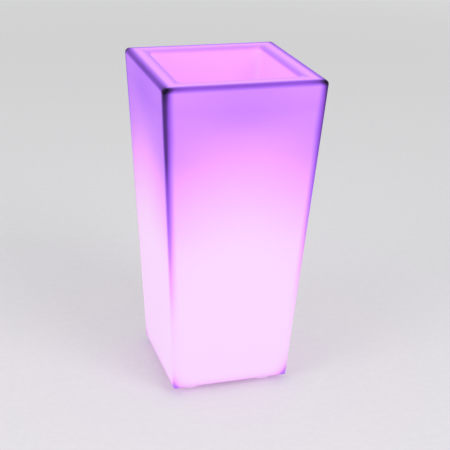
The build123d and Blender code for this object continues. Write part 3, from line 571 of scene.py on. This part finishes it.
def component_finish():
    """Chip, coil, capacitor, plug sockets and status light, told apart by where they stand on the board."""
    can_height, stripe_from, vent_half_width, vent_half_length = 5.4 * MM, 2.8 * MM, 0.14 * MM, 2.1 * MM
    finish = Finish("component_plastic", Specular_IOR_Level=0.45, Emission_Strength=1.0)
    _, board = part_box("control_board")
    cloud = finish.noise(700.0, 3.0)
    above = finish.z - board.z
    coil = finish.within(COIL_AT, (3.5 * MM, 3.5 * MM))
    capacitor = finish.within(CAPACITOR_AT, (3.3 * MM, 3.3 * MM))
    chip = finish.within(CHIP_AT, (5.0 * MM, 2.1 * MM))
    status = above.under(0.0)
    can_top = capacitor * above.over(can_height)
    sleeve = capacitor - can_top
    stripe = sleeve * (CAPACITOR_AT[1] - finish.y).over(stripe_from)
    colour = mixed(cloud, (0.88, 0.87, 0.83), (0.93, 0.92, 0.88))
    colour = mixed(chip, colour, mixed(cloud, (0.07, 0.07, 0.075), (0.12, 0.12, 0.125)))
    colour = mixed(coil, colour, mixed(cloud, (0.17, 0.17, 0.18), (0.27, 0.27, 0.28)))
    colour = mixed(sleeve, colour, mixed(cloud, (0.10, 0.12, 0.20), (0.14, 0.17, 0.27)))
    colour = mixed(stripe, colour, (0.80, 0.81, 0.84))
    colour = mixed(can_top, colour, (0.78, 0.78, 0.79))
    finish.feed("Base Color", mixed(status, colour, (0.70, 0.96, 0.72)))
    finish.feed("Metallic", can_top)
    finish.feed("Emission Color", mixed(status, (0.0, 0.0, 0.0), (0.25, 1.0, 0.35)))
    finish.feed("Roughness", 0.3 + cloud * 0.25)
    across, along = abs(finish.x - CAPACITOR_AT[0]), abs(finish.y - CAPACITOR_AT[1])
    vent = across.smaller(along).under(vent_half_width) * across.larger(along).under(vent_half_length)
    finish.relief(cloud * 0.2 - can_top * vent, 0.12 * MM, 0.7)
    return finish.material


def button_finish():
    """Satin cap."""
    return moulded_plastic("button_plastic", (0.91, 0.90, 0.92), (0.86, 0.85, 0.88), 0.4, 1400.0).material


def socket_finish():
    """Black moulded barrel with a fine thread, round a plated pin, with plated tails."""
    pin_radius, tail_length = 1.2 * MM, 4.5 * MM
    thread_inner, thread_outer, thread_pitch = 5.4 * MM, 5.6 * MM, 0.75 * MM
    finish = Finish("socket_plastic", Specular_IOR_Level=0.5)
    _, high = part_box("charge_socket")
    radius, angle = finish.around(SOCKET_AT)
    tail = (finish.z - (high.z - tail_length)).over(0.0)
    plated = radius.under(pin_radius).larger(tail)
    thread = (finish.z * (2 * math.pi / thread_pitch) + angle).sine() * 0.5 + 0.5
    thread = thread * radius.over(thread_inner) * radius.fall(thread_outer, thread_outer + 0.1 * MM)
    cloud = finish.noise(900.0, 2.0)
    black = mixed(cloud, (0.045, 0.045, 0.05), (0.085, 0.085, 0.09))
    finish.feed("Base Color", mixed(plated, black, (0.80, 0.78, 0.73)))
    finish.feed("Metallic", plated)
    finish.feed("Roughness", 0.32 + cloud * 0.12)
    finish.relief(thread + cloud * 0.05, 0.3 * MM, 0.8)
    return finish.material


def lens_finish():
    """Clear acrylic light guide with faint polishing marks, and a painted green glow, brighter towards its
    lower end.
    """
    finish = Finish("clear_acrylic", IOR=1.49, Transmission_Weight=0.85, Emission_Strength=0.35)
    marks = finish.noise(1600.0, 2.0, 0.5, (1.0, 1.0, 0.2))
    low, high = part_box("indicator_lens")
    down = ((high.z - finish.z) / (high.z - low.z)).clamped()
    finish.feed("Base Color", mixed(marks, (0.90, 0.96, 0.93), (0.95, 0.99, 0.97)))
    # Painted green glow, brighter towards the lower end
    finish.feed("Emission Color", mixed(down, (0.12, 0.75, 0.25), (0.35, 1.0, 0.45)))
    finish.feed("Roughness", 0.06 + marks * 0.1)
    finish.relief(marks, 0.02 * MM, 0.3)
    return finish.material


def lead_finish():
    """Wire insulation: red from the cells, grey to the light board, black from the charging socket."""
    red_until, grey_until = -12.0 * MM, 1.1 * MM
    finish = Finish("wire_insulation", Specular_IOR_Level=0.5)
    cloud = finish.noise(400.0, 3.0)
    red = mixed(cloud, (0.62, 0.06, 0.05), (0.78, 0.10, 0.08))
    grey = mixed(cloud, (0.66, 0.66, 0.68), (0.78, 0.78, 0.80))
    black = mixed(cloud, (0.04, 0.04, 0.045), (0.09, 0.09, 0.095))
    colour = mixed(finish.x.over(red_until), red, grey)
    finish.feed("Base Color", mixed(finish.x.over(grey_until), colour, black))
    finish.feed("Roughness", 0.3 + cloud * 0.15)
    finish.relief(cloud, 0.04 * MM, 0.4)
    return finish.material


def insert_finish():
    """Turned brass with a knurl of fine crossed ridges."""
    radians_per_metre = 5200.0
    finish = Finish("brass", Metallic=1.0)
    lean = (finish.x + finish.y) * radians_per_metre
    climb = finish.z * radians_per_metre
    ridges = (lean + climb).sine() * (lean - climb).sine()
    tarnish = finish.noise(260.0, 3.0)
    finish.feed("Base Color", mixed(tarnish, (0.66, 0.48, 0.22), (0.82, 0.64, 0.34)))
    finish.feed("Roughness", 0.28 + tarnish * 0.18)
    finish.relief(ridges * 0.5 + 0.5, 0.15 * MM, 0.8)
    return finish.material


def silicone_finish():
    """Grey silicone."""
    return soft_rubber("silicone", (0.76, 0.76, 0.78), (0.66, 0.66, 0.685)).material


def bung_finish():
    """Darker grey rubber."""
    return soft_rubber("bung_rubber", (0.55, 0.55, 0.57), (0.44, 0.44, 0.46)).material


def add_block(shape, size, place, bevel=0.0):
    """Adds a block about the matrix of its centre. A bevel softens its edges."""
    matrix = place @ Matrix.Diagonal((*size, 1.0))
    corners = bmesh.ops.create_cube(shape, size=1.0, matrix=matrix)["verts"]
    if bevel:
        edges = list({edge for corner in corners for edge in corner.link_edges})
        bmesh.ops.bevel(shape, geom=edges, offset=bevel, segments=2, profile=0.5, affect="EDGES", material=-1)


def add_cone(shape, low_radius, high_radius, height, foot, segments=24):
    """Adds an upright cone or disc standing on a point."""
    place = Matrix.Translation(Vector(foot) + Vector((0, 0, height / 2)))
    bmesh.ops.create_cone(shape, cap_ends=True, segments=segments, radius1=low_radius, radius2=high_radius,
                          depth=height, matrix=place)


def add_bent_strip(shape, width, thickness, place, steps):
    """Adds a flat strip that leaves a place along its Y axis and follows steps, in that place's own axes."""
    start = place @ Matrix.Rotation(math.radians(90), 4, "X") @ Matrix.Diagonal((width, thickness, 1, 1))
    corners = bmesh.ops.create_grid(shape, x_segments=1, y_segments=1, size=0.5, matrix=start)["verts"]
    end = list({face for corner in corners for face in corner.link_faces})
    for step in steps:
        grown = bmesh.ops.extrude_face_region(shape, geom=end)["geom"]
        moved = [item for item in grown if isinstance(item, bmesh.types.BMVert)]
        bmesh.ops.translate(shape, verts=moved, vec=place.to_3x3() @ Vector(step))
        end = [item for item in grown if not isinstance(item, bmesh.types.BMVert)]


# Faces that meet at less than this are shaded as one
SMOOTH_BELOW = math.radians(35)


def keep(name, shape, body, material):
    """Makes a finished bmesh a piece of the planter that moves with a body."""
    bmesh.ops.recalc_face_normals(shape, faces=shape.faces)
    mesh = bpy.data.meshes.new(name)
    shape.to_mesh(mesh)
    shape.free()
    mesh.shade_smooth()
    mesh.set_sharp_from_angle(angle=SMOOTH_BELOW)
    mesh.materials.append(material)
    piece = bpy.data.objects.new(name, mesh)
    bpy.context.scene.collection.objects.link(piece)
    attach(piece, body)
    return piece


def at(x, y, z, turn_deg=0.0):
    """Matrix of a place turned about the upright axis."""
    return Matrix.Translation((x, y, z)) @ Matrix.Rotation(math.radians(turn_deg), 4, "Z")


def power_symbol():
    """Broken ring and a bar, raised from the dished face of the button. Their top is towards the front."""
    radius, width, rise, gap_deg = 2.3 * MM, 0.42 * MM, 0.2 * MM, 70.0
    low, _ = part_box("power_button")
    centre = at(*BUTTON_AT, low.z + BUTTON_DISH - rise / 2, 180.0)
    shape = bmesh.new()
    upright = Matrix.Rotation(math.radians(90), 4, "Y") @ Matrix.Diagonal((rise, width, 1, 1))
    start = centre @ Matrix.Rotation(math.radians(gap_deg / 2), 4, "Z") @ Matrix.Translation((0, radius, 0))
    section = bmesh.ops.create_grid(shape, x_segments=1, y_segments=1, size=0.5, matrix=start @ upright)
    face = list({face for corner in section["verts"] for face in corner.link_faces})
    bmesh.ops.spin(shape, geom=face, cent=centre.translation, axis=(0, 0, 1), dvec=(0, 0, 0),
                   angle=math.radians(360 - gap_deg), steps=48, use_merge=False, use_duplicate=False)
    bar_from, bar_length = 0.3 * MM, 2.7 * MM
    bar = centre @ Matrix.Translation((0, bar_from + bar_length / 2, 0))
    add_block(shape, (width, bar_length, rise), bar)
    material = moulded_plastic("symbol_plastic", (0.42, 0.40, 0.46), (0.36, 0.34, 0.40), 0.5).material
    keep("power_symbol", shape, "button", material)


def coil_spring(steel):
    """Wound spring with closed ends, in place of the button's rigid one."""
    low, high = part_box("button_spring")
    wire, closed_turns, open_turns, steps_per_turn = 0.8 * MM, 0.75, 2.0, 48
    closed_pitch = 1.08 * wire
    open_pitch = (high.z - low.z - wire - 2 * closed_turns * closed_pitch) / open_turns
    centre = at(*BUTTON_AT, low.z + wire / 2)
    radius = (high.x - low.x - wire) / 2
    shape = bmesh.new()
    start = centre @ Matrix.Translation((radius, 0, 0)) @ Matrix.Rotation(math.radians(90), 4, "X")
    bmesh.ops.create_circle(shape, cap_ends=True, segments=12, radius=wire / 2, matrix=start)
    end = list(shape.faces)
    closed, opened = (closed_turns, closed_pitch), (open_turns, open_pitch)
    for turns, pitch in (closed, opened, closed):
        climb = (0, 0, pitch / steps_per_turn)
        wound = bmesh.ops.spin(shape, geom=end, cent=centre.translation, axis=(0, 0, 1), dvec=climb,
                               angle=2 * math.pi * turns, steps=round(turns * steps_per_turn),
                               use_duplicate=False)
        end = wound["geom_last"]
    piece = keep("coil_spring", shape, "housing", steel)
    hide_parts("button_spring")
    travel = next(joint["range_m"][1] for joint in frame["record"]["behaviour"]["joints"]
                  if joint["name"] == "power_button_press")
    pressed = (high.z - low.z - travel) / (high.z - low.z)
    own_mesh(piece)


def grip_ridges(rubber):
    """Low ridges along both sides of the bung's tab."""
    low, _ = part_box("port_plug")
    tab_half_width, pitch, first = 1.3 * MM, 0.65 * MM, 0.455 * MM
    ridge = (6.0 * MM, 0.5 * MM, 0.3 * MM)
    shape = bmesh.new()
    for side in (-1, 1):
        for i in range(3):
            place = at(SOCKET_AT[0], SOCKET_AT[1] + side * tab_half_width, low.z + first + pitch * i)
            add_block(shape, ridge, place, bevel=0.1 * MM)
    keep("grip_ridges", shape, "plug", rubber)


def emitter_places(z):
    """Matrix of the middle of each light emitter at a height."""
    for count, radius in LED_RINGS:
        for i in range(count):
            yield at(0, 0, z, LED_RINGS_TURN + 360 * i / count) @ Matrix.Translation((radius, 0, 0))


def light_dies():
    """Three bare chips in the window of each emitter."""
    die = (0.55 * MM, 0.55 * MM, 0.16 * MM)
    in_window = ((-0.8 * MM, 0.0), (0.45 * MM, 0.7 * MM), (0.45 * MM, -0.7 * MM))
    _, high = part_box("led_emitters")
    shape = bmesh.new()
    for place in emitter_places(high.z - LED_WINDOW_DEPTH):
        for x, y in in_window:
            add_block(shape, die, place @ Matrix.Translation((x, y, 0)))
    finish = Finish("light_dies", Specular_IOR_Level=0.6, Emission_Strength=1.6)
    cloud = finish.noise(1800.0)
    finish.feed("Base Color", mixed(cloud, (0.62, 0.30, 0.66), (0.80, 0.46, 0.84)))
    finish.feed("Emission Color", mixed(cloud, (0.80, 0.30, 0.95), (0.98, 0.62, 1.0)))
    finish.feed("Roughness", 0.2 + cloud * 0.15)
    keep("light_dies", shape, "housing", finish.material)


def light_board_joints(solder):
    """Solder at the feet of the emitters, of the receiver's legs and of the lead's end."""
    fillet, fillet_pitch, fillet_rise = (1.0 * MM, 0.8 * MM, 0.5 * MM), 1.6 * MM, 0.15 * MM
    from_middle = LED_SIZE / 2 + 0.2 * MM
    # Radius at the foot, radius at the top, and height
    leg_joint, lead_joint = (0.8 * MM, 0.35 * MM, 0.7 * MM), (2.0 * MM, 1.2 * MM, 0.9 * MM)
    _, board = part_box("led_board")
    shape = bmesh.new()
    for place in emitter_places(board.z):
        for side in (-1, 1):
            for i in (-1, 0, 1):
                joint = place @ Matrix.Translation((i * fillet_pitch, side * from_middle, fillet_rise))
                add_block(shape, fillet, joint, bevel=0.15 * MM)
    for i in (-1, 0, 1):
        add_cone(shape, *leg_joint, (i * RECEIVER_LEG_PITCH, 0, board.z))
    add_cone(shape, *lead_joint, (*LIGHT_LEAD_END, board.z))
    keep("light_board_joints", shape, "housing", solder)


def chip_legs(solder):
    """Two rows of bent legs along the chip."""
    legs, pitch, width, thickness, height = 7, 1.27 * MM, 0.42 * MM, 0.2 * MM, 0.8 * MM
    out_down_and_out = ((0, 0.3 * MM, 0), (0, 0.25 * MM, -0.65 * MM), (0, 0.5 * MM, -0.02 * MM))
    _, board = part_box("control_board")
    shape = bmesh.new()
    for side in (0, 180):
        for i in range(legs):
            along = (i - (legs - 1) / 2) * pitch
            place = at(*CHIP_AT, board.z + height, side) @ Matrix.Translation((along, CHIP_HALF_WIDTH, 0))
            add_bent_strip(shape, width, thickness, place, out_down_and_out)
    keep("chip_legs", shape, "housing", solder)


# Middle and turn of the small two-ended parts on the control board, in millimetres and degrees
RESISTORS = ((-6.6, -48.4, 0), (-6.6, -46.2, 0), (-6.6, -44.0, 0), (-21.0, -47.6, 90), (-21.0, -44.4, 90))
SMALL_CAPACITORS = ((-3.2, -46.4, 90), (-3.2, -43.2, 90), (-14.0, -35.4, 90), (-14.0, -38.8, 90),
                    (-25.2, -48.2, 0))


def small_parts(solder):
    """Small resistors and capacitors, each with tinned ends."""
    body_length, body_width, end_length, end_width = 1.5 * MM, 1.2 * MM, 0.45 * MM, 1.28 * MM
    end_from_middle, end_lift, end_rise = 0.85 * MM, 0.02 * MM, 0.06 * MM
    _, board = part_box("control_board")
    ends = bmesh.new()
    black = moulded_plastic("resistor_body", (0.10, 0.10, 0.11), (0.05, 0.05, 0.06), 0.35).material
    tan = moulded_plastic("capacitor_body", (0.72, 0.60, 0.44), (0.62, 0.50, 0.35), 0.4).material
    for name, places, height, material in (("resistors", RESISTORS, 0.5 * MM, black),
                                           ("small_capacitors", SMALL_CAPACITORS, 0.95 * MM, tan)):
        bodies = bmesh.new()
        for x, y, turn in places:
            place = at(x * MM, y * MM, board.z + height / 2, turn)
            add_block(bodies, (body_length, body_width, height), place, bevel=0.06 * MM)
            for side in (-1, 1):
                end = place @ Matrix.Translation((side * end_from_middle, 0, end_lift))
                add_block(ends, (end_length, end_width, height + end_rise), end, bevel=0.1 * MM)
        keep(name, bodies, "housing", material)
    keep("small_part_ends", ends, "housing", solder)


def plug_housings(nylon):
    """The mating half of each plug, standing in its socket, with two latch ribs."""
    wall, height, middle = 0.5 * MM, 1.6 * MM, 0.6 * MM
    latch_rib, rib_drop = (0.7 * MM, 0.5 * MM, 2.0 * MM), 1.2 * MM
    _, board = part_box("control_board")
    top = board.z + PLUG_SOCKET_HEIGHT
    shape = bmesh.new()
    for (x, y), (width, depth) in PLUG_SOCKETS:
        plug = (width - 2 * wall, depth - 2 * wall, height)
        add_block(shape, plug, at(x, y, top + middle), bevel=0.2 * MM)
        for side in (-1, 1):
            rib_at = at(x + side * width / 4, y - depth / 2, top - rib_drop)
            add_block(shape, latch_rib, rib_at, bevel=0.12 * MM)
    keep("plug_housings", shape, "housing", nylon)


def coil_core(material):
    """Round core that shows in the top of the coil's case, with a small boss on it."""
    # Radius at the foot, radius at the top, and height
    core, boss = (2.55 * MM, 2.45 * MM, 0.18 * MM), (1.1 * MM, 1.0 * MM, 0.12 * MM)
    _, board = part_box("control_board")
    top = board.z + COIL_HEIGHT
    shape = bmesh.new()
    add_cone(shape, *core, (*COIL_AT, top), segments=40)
    add_cone(shape, *boss, (*COIL_AT, top + core[2]), segments=32)
    keep("coil_core", shape, "housing", material)


def capacitor_base(material):
    """Square foot of the capacitor."""
    width, height = 6.5 * MM, 0.9 * MM
    _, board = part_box("control_board")
    shape = bmesh.new()
    add_block(shape, (width, width, height), at(*CAPACITOR_AT, board.z + height / 2), bevel=0.25 * MM)
    keep("capacitor_base", shape, "housing", material)


def lead_sleeves():
    """Shrunk sleeves over the battery lead's start and the charging socket's tail."""
    # Radius at the start, radius at the end, and length
    battery_sleeve, tail_sleeve = (1.45 * MM, 1.5 * MM, 4.6 * MM), (1.65 * MM, 1.4 * MM, 5.6 * MM)
    tail_cover, rounding, rim_angle = 3.2 * MM, 0.3 * MM, math.radians(60)
    x, y, z = BATTERY_LEAD_START
    _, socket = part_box("charge_socket")
    shape = bmesh.new()
    start, end, depth = battery_sleeve
    lying = Matrix.Translation((x - depth / 2, y, z)) @ Matrix.Rotation(math.radians(90), 4, "Y")
    bmesh.ops.create_cone(shape, cap_ends=True, segments=24, radius1=start, radius2=end, depth=depth,
                          matrix=lying)
    add_cone(shape, *tail_sleeve, (*SOCKET_TAIL_AT, socket.z - tail_cover))
    rims = [edge for edge in shape.edges if edge.calc_face_angle(0.0) > rim_angle]
    bmesh.ops.bevel(shape, geom=rims, offset=rounding, segments=3, profile=0.5, affect="EDGES", material=-1)
    material = moulded_plastic("shrunk_sleeve", (0.10, 0.10, 0.11), (0.05, 0.05, 0.06), 0.38).material
    keep("lead_sleeves", shape, "housing", material)


# Camera of the photograph, fitted to the planter's outline: place in metres, turns in radians, lens in mm
CAMERA_AT = (-0.7622, -2.4, 1.4472)
CAMERA_YAW, CAMERA_PITCH, CAMERA_ROLL = 0.3147, 0.3988, 0.0339
CAMERA_LENS, CAMERA_SENSOR = 87.29, 36.0


def make_camera():
    """Camera of the photograph: left of the front, above the rim, looking down."""
    across, down = math.cos(CAMERA_PITCH), math.sin(CAMERA_PITCH)
    forward = Vector((math.sin(CAMERA_YAW) * across, math.cos(CAMERA_YAW) * across, -down))
    level_right = Vector((math.cos(CAMERA_YAW), -math.sin(CAMERA_YAW), 0.0))
    level_up = level_right.cross(forward)
    right = math.cos(CAMERA_ROLL) * level_right + math.sin(CAMERA_ROLL) * level_up
    up = -math.sin(CAMERA_ROLL) * level_right + math.cos(CAMERA_ROLL) * level_up
    data = bpy.data.cameras.new("photo_camera")
    data.lens = CAMERA_LENS
    data.sensor_width = CAMERA_SENSOR
    data.clip_end = 200.0
    camera = bpy.data.objects.new("photo_camera", data)
    turn = Matrix((right, up, -forward)).transposed().to_4x4()
    camera.matrix_world = Matrix.Translation(CAMERA_AT) @ turn
    bpy.context.scene.collection.objects.link(camera)
    bpy.context.scene.camera = camera


def seen_directly(start):
    """1 where the eye, a reflection or a clear material looks straight at a surface."""
    path = start.node("LightPath", {}, {}, "Is Camera Ray")
    outputs = path.socket.node.outputs
    glossy = Shade(start.tree, outputs["Is Glossy Ray"])
    through = Shade(start.tree, outputs["Is Transmission Ray"])
    return path.larger(glossy).larger(through)


def make_floor():
    """Wide pale floor that fades to white far away, and isn't seen from under it."""
    radius, fade_from, fade_to = 30.0, 3.0, 12.0
    mesh = bpy.data.meshes.new("floor")
    disc = bmesh.new()
    bmesh.ops.create_circle(disc, cap_ends=True, segments=96, radius=radius)
    disc.to_mesh(mesh)
    disc.free()
    floor = bpy.data.objects.new("floor", mesh)
    bpy.context.scene.collection.objects.link(floor)
    finish = Finish("floor", Roughness=0.9, Specular_IOR_Level=0.1)
    grain = finish.noise(60.0, 4.0)
    finish.feed("Base Color", mixed(grain, (0.86, 0.86, 0.865), (0.89, 0.89, 0.895)))
    start = finish.start
    distance = length(finish.x, finish.y)
    white = start.node("Emission", {}, {"Color": (1.0, 1.0, 1.0, 1.0), "Strength": 1.0})
    clear = start.node("BsdfTransparent", {}, {})
    shader = Shade(finish.tree, finish.shader.outputs[0])
    far = distance.rise(fade_from, fade_to) * seen_directly(start)
    faded = start.node("MixShader", {}, {0: far, 1: shader, 2: white})
    under = start.node("NewGeometry", {}, {}, "Backfacing")
    shown = start.node("MixShader", {}, {0: under, 1: faded, 2: clear})
    output = finish.tree.nodes["Material Output"]
    finish.tree.links.new(shown.socket, output.inputs["Surface"])
    mesh.materials.append(finish.material)


# Each lamp's name, place, width and power in watts, and the point they all face
LAMPS = (("key", (1.6, -3.2, 3.2), 2.4, 48.0), ("fill", (-3.4, -1.6, 2.0), 2.4, 36.0))
LAMPS_AIM = (0.0, 0.0, 0.4)
# Strength of the surroundings: white where seen directly, less as light on surfaces
SURROUNDINGS_SEEN, SURROUNDINGS_LIGHT = 1.0, 0.8


def make_lights():
    """Even white surroundings with two large soft lamps."""
    world = bpy.data.worlds.new("surroundings")
    world.use_nodes = True
    bpy.context.scene.world = world
    start = Shade(world.node_tree)
    background = world.node_tree.nodes["Background"]
    strength = seen_directly(start) * (SURROUNDINGS_SEEN - SURROUNDINGS_LIGHT) + SURROUNDINGS_LIGHT
    background.inputs["Color"].default_value = (1.0, 1.0, 1.0, 1.0)
    world.node_tree.links.new(strength.socket, background.inputs["Strength"])
    for name, place, size, power in LAMPS:
        data = bpy.data.lights.new(name, "AREA")
        data.shape = "DISK"
        data.size = size
        data.energy = power
        lamp = bpy.data.objects.new(name, data)
        aim = Vector(LAMPS_AIM) - Vector(place)
        lamp.matrix_world = Matrix.Translation(place) @ aim.to_track_quat("-Z", "Y").to_matrix().to_4x4()
        bpy.context.scene.collection.objects.link(lamp)


def finish_solids():
    """Gives every CAD node its finish."""
    black = moulded_plastic("black_plastic", (0.085, 0.085, 0.09), (0.045, 0.045, 0.05)).material
    silicone = silicone_finish()
    steel = plain_metal("stainless_steel", (0.78, 0.78, 0.79), (0.64, 0.64, 0.65), 0.26).material
    wire = plain_metal("spring_steel", (0.70, 0.70, 0.70), (0.52, 0.52, 0.53), 0.22).material
    strip = plain_metal("nickel_strip", (0.78, 0.76, 0.72), (0.66, 0.64, 0.60), 0.3, (1, 0.1, 1)).material
    nut = plain_metal("nickel_nut", (0.80, 0.79, 0.76), (0.68, 0.67, 0.64), 0.24).material
    finishes = {
        "planter_body": glowing_moulding(),
        "cover_inserts": insert_finish(),
        "base_cover": cover_finish(),
        "cover_gasket": silicone,
        "cover_screws": steel,
        "dome_seal": silicone,
        "diffuser_dome": dome_finish(),
        "dome_screws": steel,
        "led_board": light_board_finish(),
        "led_board_screws": steel,
        "led_emitters": emitter_finish(),
        "infrared_receiver": receiver_finish(),
        "battery_holder": black,
        "battery_contacts": strip,
        "battery_cells": cell_finish(),
        "battery_pad": foam_finish(),
        "control_board": control_board_finish(),
        "control_board_screws": steel,
        "control_components": component_finish(),
        "button_switch": black,
        "power_button": button_finish(),
        "button_seal": silicone,
        "button_spring": wire,
        "charge_socket": socket_finish(),
        "socket_nut": nut,
        "port_plug": bung_finish(),
        "indicator_lens": lens_finish(),
        "internal_leads": lead_finish(),
    }
    for node, solid in frame["nodes"].items():
        for slot in solid.material_slots:
            slot.material = finishes[node]


def make_small_pieces():
    """Details that the solids leave out."""
    solder = plain_metal("tinned_metal", (0.80, 0.80, 0.80), (0.66, 0.66, 0.67), 0.24).material
    dark = moulded_plastic("dark_moulding", (0.13, 0.13, 0.14), (0.07, 0.07, 0.075)).material
    nylon = moulded_plastic("nylon", (0.93, 0.92, 0.88), (0.88, 0.87, 0.83), 0.4).material
    power_symbol()
    coil_spring(bpy.data.materials["spring_steel"])
    grip_ridges(bpy.data.materials["bung_rubber"])
    light_dies()
    light_board_joints(solder)
    chip_legs(solder)
    small_parts(solder)
    plug_housings(nylon)
    coil_core(dark)
    capacitor_base(dark)
    lead_sleeves()


bpy.context.scene.view_settings.view_transform = "Standard"
make_camera()
make_floor()
make_lights()
finish_solids()
make_small_pieces()
